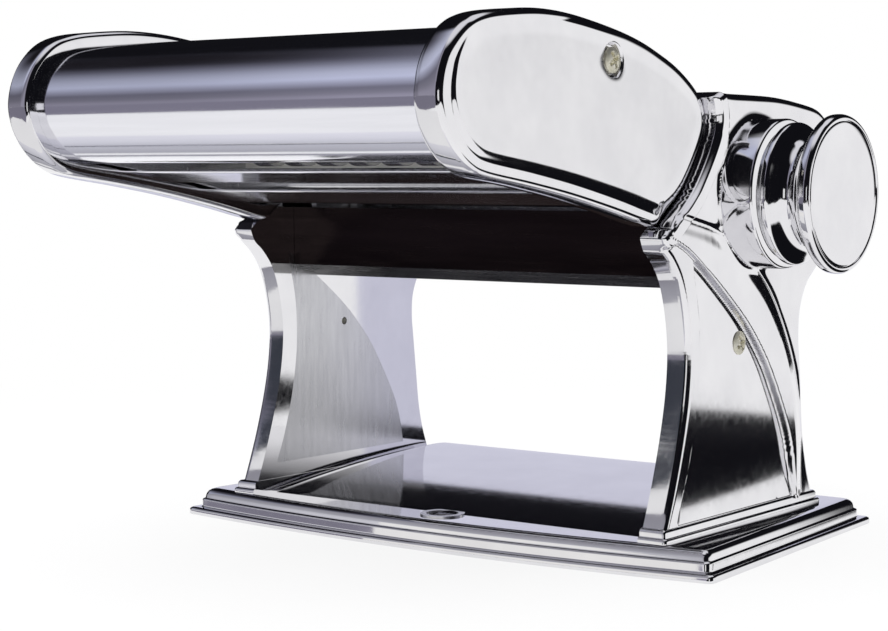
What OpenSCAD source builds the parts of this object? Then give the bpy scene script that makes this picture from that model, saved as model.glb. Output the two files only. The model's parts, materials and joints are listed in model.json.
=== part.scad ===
// Table-top pasta machine: two smooth sheeting rollers between cast side stands, and a lift-off
// cutter unit with a narrow and a wide pair of grooved rollers.
// X runs along the rollers (+X is the knob side), -Y is the cutter side, Z is up.
// The origin is on the table, midway between the stands and under the thickness knob.

/* [Main sizes] */
// distance between the inner faces of the two side stands
inner_w = 150; // [140:2:180]
// thickness of a side stand from its inner face to its rim
stand_t = 7.5; // [7:0.5:9]
// height of the thickness knob's axis above the table
knob_z = 107.8; // [107:0.2:109]
// height of the sheeting rollers' axes above the table
roller_z = 91.5; // [91:0.1:92]

/* [Sheeting rollers] */
// radius of both smooth rollers
roller_r = 11.5; // [11:0.1:11.6]
// gap between the smooth rollers at the widest setting
gap_max = 2.6; // [2.5:0.1:2.8]
// how far the knob closes that gap over its whole turn
gap_travel = 2.4; // [1.6:0.1:2.4]
// teeth on each sheeting roller gear
roller_teeth = 16; // [14:1:17]

/* [Thickness knob] */
// radius of the knob's face
knob_r = 23.4; // [21:0.2:24]
// radius of the round boss on the stand behind the knob
boss_r = 22.4; // [21:0.2:23]
// number of thickness settings marked by dimples
settings = 10; // [6:1:12]

/* [Cutter unit] */
// radius of the narrow cutter's discs
narrow_r = 7.5; // [7.2:0.1:7.6]
// width of one narrow strip
narrow_strip = 1.8; // [1.5:0.1:2.5]
// radius of the wide cutter's discs
wide_r = 9; // [8.6:0.1:9.2]
// width of one wide strip
wide_strip = 6.4; // [5:0.2:8]
// thickness of the folded steel covers
sheet_t = 0.8; // [0.7:0.1:1]

/* [Base] */
// half width of the base along its front edge
base_front = 101.7; // [100:0.5:108]
// half width of the base along its rear edge
base_back = 94; // [93:0.5:106]
// height of the base plate at its rim
base_h = 8.5; // [8.5:0.1:9]

/* [Hidden] */

$fn = 48;
fit = 0.05;      // running clearance of a shaft in its hole
seat = 0.02;     // clearance of a part fixed on or in another
half_w = inner_w / 2;
rim_x = half_w + stand_t;          // rim face of a stand
head_x = rim_x + 1.5;              // crown of a stand's head and rib

// frame of the sheeting rollers
plate_in = half_w - 8.7;           // inner face of a frame plate
plate_t = 2;
plate_out = plate_in + plate_t;
gear_in = plate_out + 0.7;         // gears sit between frame plate and stand
gear_t = 5.3;
roller_half = plate_in - 4.3;      // half length of a smooth roller
yoke_in = roller_half + 0.8;
yoke_t = 3;
journal_r = 5;
front_y = 0;
rear_y = 2 * roller_r + gap_max;
roller_back = rear_y + roller_r;   // rearmost line of the rear roller
nip_y = (front_y + rear_y) / 2;
gear_pitch_r = (rear_y - gap_travel + 0.15) / 2;
cam_r = 4.6;
cam_turn = 300;
shaft_r = 3;
spindle_r = 4;
crank_r = 3;                       // socket that the crank fits, in all three driven rollers

// knob
boss_x = rim_x + 11.7;             // face of the boss
ring_t = 0.8;
collar_x = boss_x + ring_t + 0.6;
knob_x = collar_x + 17.4;          // outer face of the knob

// cutter unit
cap_in = half_w - 5;               // inner face of an end cap
cap_x = half_w + 4;                // outer face of an end cap's flange
crown_x = cap_x + 1.4;             // raised centre of an end cap
cut_in = half_w - 11;              // inner face of a cutter side plate
cut_out = cut_in + 2;
cut_half = cut_in - 0.6;           // half length of a cutter roller
tilt = 20.4;                       // lean of both cutter pairs
mesh = 1.2;                        // how far the discs of a pair overlap
narrow_nip = [-122, 134];
wide_nip = [-80, 128];
narrow_half = narrow_r - mesh / 2;
wide_half = wide_r - mesh / 2;
lean = [cos(tilt), -sin(tilt)];
narrow_up = narrow_nip - narrow_half * lean;
narrow_low = narrow_nip + narrow_half * lean;
wide_up = wide_nip - wide_half * lean;
wide_low = wide_nip + wide_half * lean;
cut_shaft_r = 4.2;
cut_bush_r = cut_shaft_r + 1.4;
cut_end = half_w + 1.6;            // left end of a driven cutter shaft, just inside the cap's hole
rail_a = [-38, 124.5];
rail_b = [-50, 111.5];
rail_r = 2.5;
lift_angle = 20;                   // the cutter unit lifts off forward and up along this slope
cap_screw = [-73.2, 144.6];
panel_screw = [-6, 63];
foot_top = base_h + 4;
leg_screws = [-34, 26];            // places of the base screws along Y
rods = [[-22, 89], [-22, 120.6], [43, 110], [roller_back + 4, roller_z - 3.7]];
cut_rods = [[-98, 142], [-104, 120], [-58, 119], [-56, 139]];

// ---------- outlines, as (y, z) ----------

// rim of the cutter's end cap, from the nose along the underside to the rear end and back over the top
cap_keys = [[-148.3, 128], [-146.3, 123.6], [-142.4, 118.8], [-137, 115], [-130, 112.8],
            [-111.5, 110.2], [-92, 107.1], [-72, 103.2], [-56, 99.7], [-49.5, 98.9], [-45.6, 101.4],
            [-35.5, 109.1], [-27.2, 119], [-22.8, 127], [-23.3, 133.6], [-28, 138.9],
            [-37.5, 144.3], [-48.4, 148.3], [-59, 151.3], [-73, 153.9], [-91, 156.1],
            [-106, 156.6], [-120, 155.6], [-131, 154], [-138.5, 151.2], [-144.4, 145.9],
            [-147.8, 140], [-149.2, 133.6]];
cap_line = closed_curve(cap_keys, 3);

// the stand's seat follows the cap's rear end, top to bottom
seat_gap = 0.8;
seat_rim = inset(cap_line, -seat_gap);
seat_line = [for (i = [43 : -1 : 27]) seat_rim[i]];
leg_front = [[-52.3, 95.6], [-50.4, 91.8], [-46.6, 88.6], [-42.4, 83.4], [-39.6, 76.5], [-37.7, 68],
             [-37.2, 60], [-38.2, 50], [-40.4, 40], [-43.4, 30], [-46.6, 21], [-50.4, foot_top - 1]];
leg_back = [[41, foot_top - 1], [37.4, 20.4], [35, 30], [33.4, 43], [32, 55],
            [31.2, 63], [32, 71], [36, 78.5], [43.6, 84.6]];
head_back = [[50.4, 93], [54, 103], [55, 114], [53.4, 124], [49.4, 130.6], [42.6, 134.2],
             [30, 136], [15, 137.2], [0, 137.4], [-13, 137.4], [-20, 137.8]];
stand_line = concat(open_curve(leg_front, 2), open_curve(concat(leg_back, head_back), 2),
                    seat_line);

// arched rib over the leg and the sunk panel under it
rib_outer = [[-40, 100.4], [-22, 96.6], [-7.3, 90.6], [8.4, 79.8], [18.2, 68.5], [26, 55.4],
             [30.6, 42], [32.2, 29.3], [32.6, 17]];
rib_inner = [[26.6, 17], [22.2, 32], [12.1, 49.3], [4, 59.6], [-7, 70], [-24, 82.2], [-37, 90.6],
             [-44.6, 94]];
rib_line = concat([for (p = reversed(open_curve(rib_outer, 3))) p],
                  [for (p = reversed(open_curve(rib_inner, 3))) p]);
panel_keys = [[-34.4, 88.2], [-24, 82], [-7, 69.8], [4, 59.4], [12.1, 49], [22, 32], [26, 17.5]];
panel_front = [[-41, 17.5], [-37, 27], [-33.6, 38], [-31.2, 50], [-30.4, 60], [-31, 72], [-33.2, 82]];
panel_line = concat(reversed(open_curve(panel_front, 3)), reversed(open_curve(panel_keys, 3)));

// bead that frames the seat of the end cap
lip_in = inset(cap_line, -seat_gap - 1.3);
lip_out = inset(cap_line, -seat_gap - 3.9);
lip_line = concat([for (i = [42 : -1 : 30]) lip_in[i]], [for (i = [30 : 42]) lip_out[i]]);

// ---------- curve helpers ----------

function reversed(p) = [for (i = [len(p) - 1 : -1 : 0]) p[i]];
function catmull(a, b, c, d, t) =
    0.5 * ((2 * b) + (c - a) * t + (2 * a - 5 * b + 4 * c - d) * t * t
           + (3 * b - a - 3 * c + d) * t * t * t);
function open_curve(p, n) =
    let (m = len(p)) concat([for (i = [0 : m - 2], k = [0 : n - 1])
        catmull(p[max(i - 1, 0)], p[i], p[i + 1], p[min(i + 2, m - 1)], k / n)], [p[m - 1]]);
function closed_curve(p, n) =
    let (m = len(p)) [for (i = [0 : m - 1], k = [0 : n - 1])
        catmull(p[(i + m - 1) % m], p[i], p[(i + 1) % m], p[(i + 2) % m], k / n)];
function unit(v) = v / norm(v);
// every point moved inward by d, mitred at corners, for a counter-clockwise outline
function inset(p, d) =
    let (m = len(p)) [for (i = [0 : m - 1])
        let (a = unit(p[i] - p[(i + m - 1) % m]), b = unit(p[(i + 1) % m] - p[i]),
             na = [-a[1], a[0]], nb = [-b[1], b[0]], s = unit(na + nb))
        p[i] + s * d / max(s * na, 0.5)];
function to_edge(q, a, b) =
    let (t = max(0, min(1, (q - a) * (b - a) / ((b - a) * (b - a))))) norm(q - a - t * (b - a));
// the same without the loops that tight corners leave
function shrunk(p, d) =
    let (m = len(p)) [for (q = inset(p, d))
        if (min([for (i = [0 : m - 1]) to_edge(q, p[i], p[(i + 1) % m])]) > abs(d) - 0.03) q];

// slab of an outline between two heights, its upper edge rounded by r (lower edge by r0);
// along is 0 for X (outline in y and z) and 2 for Z (outline in x and y)
module slab(line, lo, hi, r, r0 = 0, along = 0, steps = 4) {
    function place(p, h) = along == 0 ? [h, p[0], p[1]] : [p[0], p[1], h];
    levels = concat(r0 > 0 ? [for (k = [0 : steps - 1]) let (a = 90 * k / steps)
                              [lo + r0 * (1 - cos(a)), r0 * (1 - sin(a))]] : [[lo, 0]],
                    r0 > 0 ? [[lo + r0, 0]] : [],
                    [for (k = [0 : steps]) let (a = 90 * k / steps)
                     [hi - r + r * sin(a), r * (1 - cos(a))]]);
    n = len(line);
    m = len(levels);
    pts = [for (l = levels) each [for (p = inset(line, l[1])) place(p, l[0])]];
    polyhedron(pts, concat(
        [[for (i = [0 : n - 1]) i]],
        [for (k = [0 : m - 2], i = [0 : n - 1])
            let (j = (i + 1) % n) [k * n + i, (k + 1) * n + i, (k + 1) * n + j, k * n + j]],
        [[for (i = [n - 1 : -1 : 0]) (m - 1) * n + i]]), convexity = 8);
}

// ---------- shape helpers ----------

module along_x(lo, hi) { translate([lo, 0, 0]) rotate([90, 0, 90]) linear_extrude(hi - lo) children(); }
module rod(r, lo, hi, at = [0, 0]) {
    translate([lo, at[0], at[1]]) rotate([0, 90, 0]) cylinder(r = r, h = hi - lo);
}
// turned part about an axis along X; the profile is (radius, x)
module turned(at = [0, 0]) {
    translate([0, at[0], at[1]]) rotate([0, 90, 0]) rotate_extrude() children();
}
module both() { children(); mirror([1, 0, 0]) children(); }
module oblong(r, a, b) {
    d = b - a;
    translate(a) rotate(atan2(d[1], d[0])) {
        circle(r);
        translate([norm(d), 0]) circle(r);
        translate([0, -r]) square([norm(d), 2 * r]);
    }
}
// strip of sheet metal that follows a line on its left side
module strip(line, t) {
    m = len(line);
    side = [for (i = [0 : m - 1])
        let (d = unit(line[min(i + 1, m - 1)] - line[max(i - 1, 0)])) line[i] + t * [-d[1], d[0]]];
    polygon(concat(line, reversed(side)));
}
// pan-head screw pointing -Z, its head's top at 0
module screw(head_r, head_h, shank_r, length) {
    difference() {
        union() {
            rotate_extrude() polygon([[0, -head_h], [head_r, -head_h], [head_r, -head_h * 0.45],
                [head_r * 0.86, -head_h * 0.16], [head_r * 0.6, 0], [0, 0]]);
            translate([0, 0, -length]) cylinder(r = shank_r, h = length - head_h / 2);
        }
        for (a = [0, 90]) rotate(a) translate([-head_r * 0.62, -head_r * 0.16, -head_h * 0.6])
            cube([head_r * 1.24, head_r * 0.32, head_h]);
    }
}
module screw_x(x, at, head_r, head_h, shank_r, length) {
    translate([x, at[0], at[1]]) rotate([0, 90, 0]) screw(head_r, head_h, shank_r, length);
}

// involute gear outline
function involute(rb, a) = rb * [cos(a) + a * PI / 180 * sin(a), sin(a) - a * PI / 180 * cos(a)];
function turn(p, a) = [p[0] * cos(a) - p[1] * sin(a), p[0] * sin(a) + p[1] * cos(a)];
function gear_outline(teeth, pitch_r, tip, root, slack) =
    let (pa = 20, rb = pitch_r * cos(pa), m = 2 * pitch_r / teeth,
         top = sqrt(pow(tip / rb, 2) - 1) * 180 / PI,
         low = root > rb ? sqrt(pow(root / rb, 2) - 1) * 180 / PI : 0,
         start = (tan(pa) * 180 / PI - pa),
         half = 90 / teeth - slack / pitch_r * 90 / PI + start)
    [for (i = [0 : teeth - 1]) each [
        for (q = concat([[root * cos(half), -root * sin(half)]],
                        [for (k = [0 : 4]) turn(involute(rb, low + (top - low) * k / 4), -half)],
                        [for (k = [4 : -1 : 0])
                            let (v = involute(rb, low + (top - low) * k / 4)) turn([v[0], -v[1]], half)],
                        [[root * cos(half), root * sin(half)]])) turn(q, i * 360 / teeth)]];
module gear(teeth, pitch_r, add, ded, slack, bore, phase = 0) {
    difference() {
        rotate(phase) polygon(gear_outline(teeth, pitch_r, pitch_r + add, pitch_r - ded, slack));
        circle(bore);
    }
}

// ---------- base ----------

base_rear_y = 59.5;
base_front_y = -56.3;
bow = 7.4;
corner = 2;
clamp_y = -47.4;                   // hole for the table clamp
// the base's plan, moved in by d: bowed front edge, sides that draw in to the rear
function base_line(d) =
    let (wf = base_front - d, wb = base_back - d, yf = base_front_y + d, yb = base_rear_y - d)
    concat([for (i = [0 : 14]) let (t = i / 7 - 1) [(wf - corner) * t, yf - bow * (1 - t * t)]],
           [[wf - 0.3, yf + corner * 0.6], [wf, yf + corner * 1.6],
            [wb, yb - corner], [wb - corner, yb], [corner - wb, yb], [-wb, yb - corner],
            [-wf, yf + corner * 1.6], [0.3 - wf, yf + corner * 0.6]]);
hump_keys = [[-48, base_h - 1], [-40, base_h + 0.8], [-24, base_h + 2.8], [-4, base_h + 4.7],
             [18, base_h + 6.2], [36, base_h + 6.9], [46, base_h + 6.6], [51.5, base_h + 4.4],
             [53.5, base_h - 1]];

module base_plate() color("gainsboro") {
    difference() {
        union() {
            slab(base_line(0), 0, 2.4, 0.8, along = 2, steps = 2);
            slab(base_line(3), 1, base_h, 2, along = 2);
            along_x(-half_w + 2.2, half_w - 2.2) polygon(open_curve(hump_keys, 3));
        }
        translate([0, 0, -1]) linear_extrude(base_h - 1) polygon(base_line(5));
        along_x(-half_w + 4.2, half_w - 4.2)
            polygon([for (p = open_curve(hump_keys, 3)) [p[0] * 0.96 + 0.2, p[1] - 2]]);
        for (s = [-1, 1], y = leg_screws) translate([s * (half_w + 4), y, 0]) cylinder(r = 2.2, h = 20);
        translate([0, clamp_y, 0]) cylinder(r = 7, h = 20);
    }
}
module rubber_feet() color("dimgray")
    for (s = [-1, 1], p = [[84, -45.6], [81, 43]]) translate([s * p[0], p[1], 0])
        rotate_extrude() polygon([[0, 0], [5.8, 0], [6.6, 0.8], [7, base_h - 2], [0, base_h - 2]]);
module base_screws() color("silver")
    for (s = [-1, 1], y = leg_screws) translate([s * (half_w + 4), y, base_h - 4.3])
        mirror([0, 0, 1]) screw(3.6, 2.2, 1.6, 12);
module clamp_bush() color("silver") translate([0, clamp_y, 0]) rotate_extrude()
    polygon([[5, 0.6], [9, 0.6], [9, base_h - 2 - seat], [7 - seat, base_h - 2 - seat],
             [7 - seat, base_h + 0.5], [5, base_h + 0.5]]);

// ---------- side stands ----------

// the casting's blended skin: rim, crown, rib, seat bead and foot, with the panel sunk and the
// back hollow
module casting() resize([0, 0, 0]) difference() {
    union() {
        slab(stand_line, half_w, rim_x, 2.4, 0.6);
        slab(crown_line, rim_x - 1.2, head_x, 1.6, steps = 3);
        slab(rib_line, rim_x - 4, head_x, 2.2, steps = 3);
        slab(lip_line, rim_x - 1.2, head_x + 0.4, 1.1, steps = 3);
        slab([[half_w - 1, -52.6], [rim_x - 1.5, -52.6], [rim_x + 0.7, -50.4], [rim_x + 0.7, 40.6],
              [rim_x - 1.5, 42.8], [half_w - 1, 42.8]], base_h, foot_top, 0.9, along = 2, steps = 2);
    }
    slab(panel_line, rim_x - 3.2, head_x + 4, 0.1, 1.2, steps = 2);
    along_x(half_w - 2, half_w + 2) polygon(shrunk(panel_line, -1));
}
module stand_holes() {
    for (y = leg_screws) translate([half_w + 4, y, base_h - 1]) cylinder(r = 1.65, h = 9.5);
    rod(1.7, half_w, rim_x, panel_screw);
}
crown_keys = [[-16.5, 133.2], [-16.6, 125], [-19.6, 116.6], [-27, 107.6], [-34, 102.4], [-22, 99.6],
              [-6, 93.6], [8, 84.6], [18, 76], [27, 74.6], [35, 82], [43, 88.6], [48.2, 97],
              [50.6, 108], [50.2, 119], [46.6, 127], [38, 130.6], [20, 132.6], [0, 133.6]];
crown_line = closed_curve(crown_keys, 2);

module right_stand() color("gainsboro") difference() {
    union() {
        casting();
        turned([0, knob_z]) polygon([[0, rim_x - 2.2], [boss_r + 2, rim_x - 2.2], [boss_r + 2, head_x - 0.35],
            [boss_r + 1.1, head_x + 0.35], [boss_r + 0.35, head_x + 1.1], [boss_r, head_x + 2.2],
            [boss_r, boss_x - 1.2], [boss_r - 0.4, boss_x - 0.4], [boss_r - 1.2, boss_x], [0, boss_x]]);
    }
    stand_holes();
    rod(8 + seat, half_w - 1, boss_x + 1, [0, knob_z]);
    turned([0, knob_z]) polygon([[10.6, boss_x - 4], [19, boss_x - 4], [19, boss_x + 1], [10.6, boss_x + 1]]);
}
module left_stand() color("gainsboro") mirror([1, 0, 0]) difference() {
    union() {
        casting();
        turned([rear_y, roller_z]) polygon([[0, rim_x - 2.2], [11.4, rim_x - 2.2], [11.4, head_x + 0.6],
            [10.4, head_x + 1.6], [0, head_x + 1.6]]);
    }
    stand_holes();
    rod(journal_r + 0.6, half_w - 1, head_x + 3, [rear_y, roller_z]);
}
module stiffener() {
    difference() {
        along_x(half_w + seat, half_w + 1.5) polygon(shrunk(panel_line, -0.8));
        rod(1.3, half_w - 1, half_w + 3, panel_screw);
    }
}
module right_stiffener() color("silver") stiffener();
module left_stiffener() color("silver") mirror([1, 0, 0]) stiffener();
module panel_screws() color("goldenrod") both()
    screw_x(rim_x - 1.1, panel_screw, 3.6, 2, 1.28, stand_t - 1.3);

// ---------- frame between the stands ----------

plate_line = closed_curve([[-29.2, 90], [-28.4, 86.6], [-24, 84], [-14, 81.6], [0, 80], [24, 79.6],
                           [roller_back - 1.1, 82], [roller_back + 6.9, 86.2], [roller_back + 11.5, 95],
                           [50, 107], [47.4, 121], [41, 127.2], [10, 128.2], [-22, 128.2], [-29, 128],
                           [-39, 127.9], [-49.4, 120.4], [-54, 112], [-52, 105.8], [-46, 104.6],
                           [-37, 108], [-31.4, 107], [-29.6, 102]], 3);
module frame_plate() {
    difference() {
        along_x(plate_in, plate_out) polygon(plate_line);
        rod(shaft_r + fit, plate_in - 1, plate_out + 1, [front_y, knob_z]);
        along_x(plate_in - 1, plate_out + 1)
            oblong(journal_r + 0.4, [front_y, roller_z], [front_y + gap_travel, roller_z]);
        rod(7 + seat, plate_in - 1, plate_out + 1, [rear_y, roller_z]);
        for (p = rods) rod(rod_r + seat, plate_in - 1, plate_out + 1, p);
        for (p = [rail_a, rail_b]) rod(rail_r - 0.7 + seat, plate_in - 1, plate_out + 1, p);
    }
    // pins that guide the roller yoke
    for (z = guide_z) rod(guide_r, yoke_in - 0.2, plate_in + 0.5, [front_y, z]);
}
rod_r = 2.4;
guide_r = 1.5;
guide_z = [82.9, 119.8];
module right_frame_plate() color("silver") frame_plate();
module left_frame_plate() color("silver") mirror([1, 0, 0]) frame_plate();
module frame_tie_rods() color("silver") for (p = rods) {
    rod(rod_r, -half_w + seat, half_w - seat, p);
    rod(rod_r + 0.8, -plate_in + seat, plate_in - seat, p);
}
module cutter_rails() color("silver") for (p = [rail_a, rail_b]) {
    rod(rail_r, -plate_in + seat, plate_in - seat, p);
    rod(rail_r - 0.7, -plate_out, plate_out, p);
}
hood_keys = [[-13, 137.2], [-17.4, 136.8], [-20.2, 134.6], [-21, 129.2]];
module front_hood() color("silver") along_x(-half_w + 0.1, half_w - 0.1)
    strip(reversed(open_curve(hood_keys, 4)), sheet_t);
module front_apron() color("dimgray") along_x(-half_w + 0.1, half_w - 0.1)
    strip([[-30.6, 102.6], [-30.6, 84], [-18, 80.2]], -sheet_t);
rear_keys = [[roller_back - 2.5, 80.2], [roller_back + 2.5, 81], [roller_back + 8.1, 85.4],
             [roller_back + 13.3, 94], [52.6, 104], [53.2, 114], [51.6, 123.4], [47.6, 129.8],
             [42, 133.4], [36, 135]];
module rear_cover() color("silver") along_x(-half_w + 0.1, half_w - 0.1)
    strip(open_curve(rear_keys, 4), sheet_t);
// guides that lead the dough between the rollers
front_guide = [[-14, 136.9], [-8, 135], [-1, 129.8], [4.4, 122.6], [6.4, 114], [7.6, 104.4]];
rear_guide = [[17.8, 104.4], [19.4, 114], [22, 122.6], [27, 129.6], [33, 133], [36.4, 133.8]];
module guide(line, t) {
    difference() {
        along_x(-half_w + 0.1, half_w - 0.1) strip(open_curve(line, 4), t);
        for (s = [-1, 1]) translate([s * half_w - 12.6, -40, 60]) cube([25.2, 120, 68.8]);
    }
}
module front_hopper_guide() color("silver") guide(front_guide, -sheet_t);
module rear_hopper_guide() color("silver") guide(rear_guide, -sheet_t);
// scrapers that keep the rollers clean
function by_roller(y, a, d) = [y, roller_z] + (roller_r + d) * [cos(a), sin(a)];
module roller_wipers() color("dimgray") {
    along_x(-roller_half, roller_half) polygon([[-17.6, 81.4], by_roller(front_y, 219, 0.9),
                                                by_roller(front_y, 218, 0.25), [-17.6, 82.4]]);
    along_x(-plate_in + seat, plate_in - seat)
        polygon([[-17.8, 81.4], [-14, 82.5], [-14, 84], [-17.8, 84]]);
    along_x(-plate_in + seat, plate_in - seat)
        polygon([by_roller(rear_y, -51, 0.25), [rear_y + 12.4, 83.2], [rear_y + 12.4, 84.2],
                 by_roller(rear_y, -48, 0.25)]);
}
module rear_bushes() color("darkgoldenrod") both() difference() {
    union() {
        rod(7, plate_in - 1.2, plate_out + 0.3, [rear_y, roller_z]);
        rod(8.6, plate_in - 1.2, plate_in - seat, [rear_y, roller_z]);
    }
    rod(journal_r + fit, plate_in - 2, plate_out + 1, [rear_y, roller_z]);
}
module knob_bearing() color("darkgoldenrod") difference() {
    rod(8, half_w + 1, boss_x - 0.2, [0, knob_z]);
    rod(spindle_r + fit, half_w, boss_x + 1, [0, knob_z]);
}
module index_ring() color("silver") difference() {
    turned([0, knob_z]) polygon([[10.6 + seat, boss_x - 4], [19 - seat, boss_x - 4],
        [19 - seat, boss_x + ring_t], [16.4, boss_x + ring_t], [16.4, boss_x - 0.2],
        [13.4, boss_x - 0.2], [13.4, boss_x + ring_t], [10.6 + seat, boss_x + ring_t]]);
    for (i = [0 : settings - 1]) rotate_knob(i * cam_turn / (settings - 1))
        translate([boss_x - 2, 0, 14.9]) rotate([0, 90, 0]) cylinder(r1 = 0.4, r2 = 1.3, h = 1.9);
}
module rotate_knob(a) { translate([0, 0, knob_z]) rotate([a, 0, 0]) children(); }

// ---------- sheeting rollers ----------

module smooth_roller(y, left_end) {
    at = [y, roller_z];
    turned(at) polygon([[0, -left_end], [journal_r - 0.6, -left_end], [journal_r, -left_end + 0.6],
        [journal_r, -roller_half - 0.5], [journal_r + 1.6, -roller_half - 0.5],
        [journal_r + 1.6, -roller_half],
        [roller_r - 0.5, -roller_half], [roller_r, -roller_half + 0.5], [roller_r, roller_half - 0.5],
        [roller_r - 0.5, roller_half], [journal_r + 1.6, roller_half], [journal_r + 1.6, roller_half + 0.5],
        [journal_r, roller_half + 0.5], [journal_r, plate_out - 2.1], [0, plate_out - 2.1]]);
}
module front_roller() color("lightsteelblue") smooth_roller(front_y, half_w - 0.6);
module rear_roller() color("lightsteelblue") difference() {
    union() {
        smooth_roller(rear_y, head_x - 0.5);
        rod(journal_r, plate_in - 5, plate_out, [rear_y, roller_z]);
    }
    crank_socket(head_x - 0.5, 12, [rear_y, roller_z], journal_r);
}
// bore in a shaft's left end, with the cross slot that the crank's tongue turns
module crank_socket(end, depth, at, shaft) {
    rod(crank_r, -end - 1, -end + depth, at);
    translate([-end - 1, at[0] - 0.9, at[1] - shaft - 1]) cube([3.4, 1.8, 2 * shaft + 2]);
}
roller_gear_add = 1.35;
module roller_gear(y, phase) {
    translate([-gear_in - gear_t, y, roller_z]) rotate([90, 0, 90]) linear_extrude(gear_t)
        gear(roller_teeth, gear_pitch_r, roller_gear_add, 1.75, 0.22, journal_r + seat, phase);
}
module front_roller_gear() color("darkgray") roller_gear(front_y, 0);
module rear_roller_gear() color("darkgray")
    roller_gear(rear_y, roller_teeth % 2 == 0 ? 180 / roller_teeth : 0);

// sliding yokes that carry the front roller; the cams push their pads
module roller_yokes() color("darkseagreen") both() difference() {
    along_x(yoke_in, yoke_in + yoke_t) difference() {
        polygon(closed_curve([[-13, 98], [-12.4, 84], [-8, 80.4], [8, 80.4], [10.4, 84], [10.8, 98],
                              [10.8, 116], [8, 123], [-8, 123], [-12.8, 116]], 4));
        // window round the cam with a rounded pad on its rear side
        difference() {
            translate([-10.2, knob_z - 8]) square([16.4, 16]);
            translate([cam_r + 0.12 + 2, knob_z]) circle(2);
        }
        for (z = guide_z)
            oblong(guide_r + fit, [front_y - gap_travel - 0.1, z], [front_y + 0.1, z]);
    }
    rod(journal_r + fit, yoke_in - 1, yoke_in + yoke_t + 1, [front_y, roller_z]);
}

// ---------- thickness adjuster ----------

module adjuster_shaft() color("lightsteelblue") difference() {
    union() {
        rod(shaft_r, -plate_out - 0.5, plate_out + 1, [0, knob_z]);
        rod(spindle_r, plate_out + 0.1, knob_x - 5, [0, knob_z]);
    }
    for (s = [-1, 1]) translate([boss_x + 1, s * (spindle_r + 2) - 3, knob_z - 6])
        cube([knob_x, 4, 12]);
}
module cams() color("sandybrown") both_plain() difference() {
    along_x(yoke_in + 0.1, yoke_in + yoke_t - 0.1) translate([0, knob_z])
        polygon([for (i = [0 : 50]) let (a = -i * cam_turn / 50)
                 (cam_r - gap_travel * a / cam_turn) * [cos(a), sin(a)]]);
    rod(shaft_r + seat, yoke_in - 1, yoke_in + yoke_t + 1, [0, knob_z]);
}
module both_plain() { children(); translate([-2 * yoke_in - yoke_t, 0, 0]) children(); }

module knob_body() color("gainsboro") difference() {
    turned([0, knob_z]) polygon(concat(
        [[0, collar_x], [knob_r - 3.4, collar_x], [knob_r - 2.6, collar_x + 0.4],
         [knob_r - 2.2, collar_x + 1.4], [knob_r - 2.6, collar_x + 2.4]],
        open_curve([[knob_r - 3.6, collar_x + 3], [knob_r - 6.6, collar_x + 4.6],
                    [knob_r - 7.6, collar_x + 6.8], [knob_r - 6.6, collar_x + 9.2],
                    [knob_r - 3.4, collar_x + 11.8],
                    [knob_r - 0.9, collar_x + 13.2]], 3),
        [[knob_r - 0.6, collar_x + 13.6], [knob_r - 2.6, collar_x + 13.6], [knob_r - 2.6, knob_x - 1.4],
         [0, knob_x - 1.4]]));
    difference() {
        rod(spindle_r + fit, collar_x - 1, knob_x - 4.6, [0, knob_z]);
        for (s = [-1, 1]) translate([collar_x - 2, s * (spindle_r + 2) - 3 + s * 0.06, knob_z - 6])
            cube([knob_x, 4, 12]);
    }
    for (a = [0, 180]) rotate_knob(a) rod(1.2 + seat, collar_x - 1, collar_x + 3, [0, 14.9]);
}
module knob_cap() color("whitesmoke") turned([0, knob_z]) polygon([
    [0, knob_x - 1.4 + seat], [knob_r - 2.6 + seat, knob_x - 1.4 + seat],
    [knob_r - 2.6 + seat, collar_x + 13.6 + seat], [knob_r - 0.6, collar_x + 13.6 + seat],
    [knob_r - 0.1, collar_x + 14.1], [knob_r, collar_x + 14.7], [knob_r, knob_x - 1.2],
    [knob_r - 0.4, knob_x - 0.5], [knob_r - 1.2, knob_x - 0.1], [knob_r - 2.2, knob_x], [0, knob_x]]);
module index_pins() color("silver") for (a = [0, 180]) rotate_knob(a)
    translate([0, 0, 14.9]) rotate([0, 90, 0]) {
        translate([0, 0, boss_x + 0.7]) cylinder(r = 1.2, h = collar_x + 3 - seat - boss_x - 0.7);
        translate([0, 0, boss_x - 0.1]) cylinder(r1 = 0.5, r2 = 1.2, h = 0.8);
    }

// ---------- cutter unit ----------

module cap(open_left) {
    difference() {
        union() {
            slab(cap_line, cap_in, cap_x, 2.2, 0.4);
            slab(shrunk(cap_line, 5.6), cap_x - 1, crown_x, 1.6, steps = 3);
        }
        difference() {
            along_x(cap_in - 1, cap_x - 2.4) polygon(shrunk(cap_line, 4.8));
            rod(4.4, cap_in, cap_x, cap_screw);
        }
        rod(1.75, cap_in - 1, crown_x + 1, cap_screw);
        turned(cap_screw) polygon([[0, crown_x - 1.9], [4.3, crown_x - 1.9], [5.2, crown_x + 0.1],
                                   [0, crown_x + 0.1]]);
        if (open_left) for (p = [narrow_up, wide_up]) rod(6.4, cap_in, crown_x + 1, p);
    }
}
module right_cap() color("gainsboro") cap(false);
module left_cap() color("gainsboro") mirror([1, 0, 0]) cap(true);
module cap_screws() color("goldenrod") both()
    screw_x(crown_x - 0.1, cap_screw, 3.7, 1.8, 1.45, crown_x - cut_in - 0.3);

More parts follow.
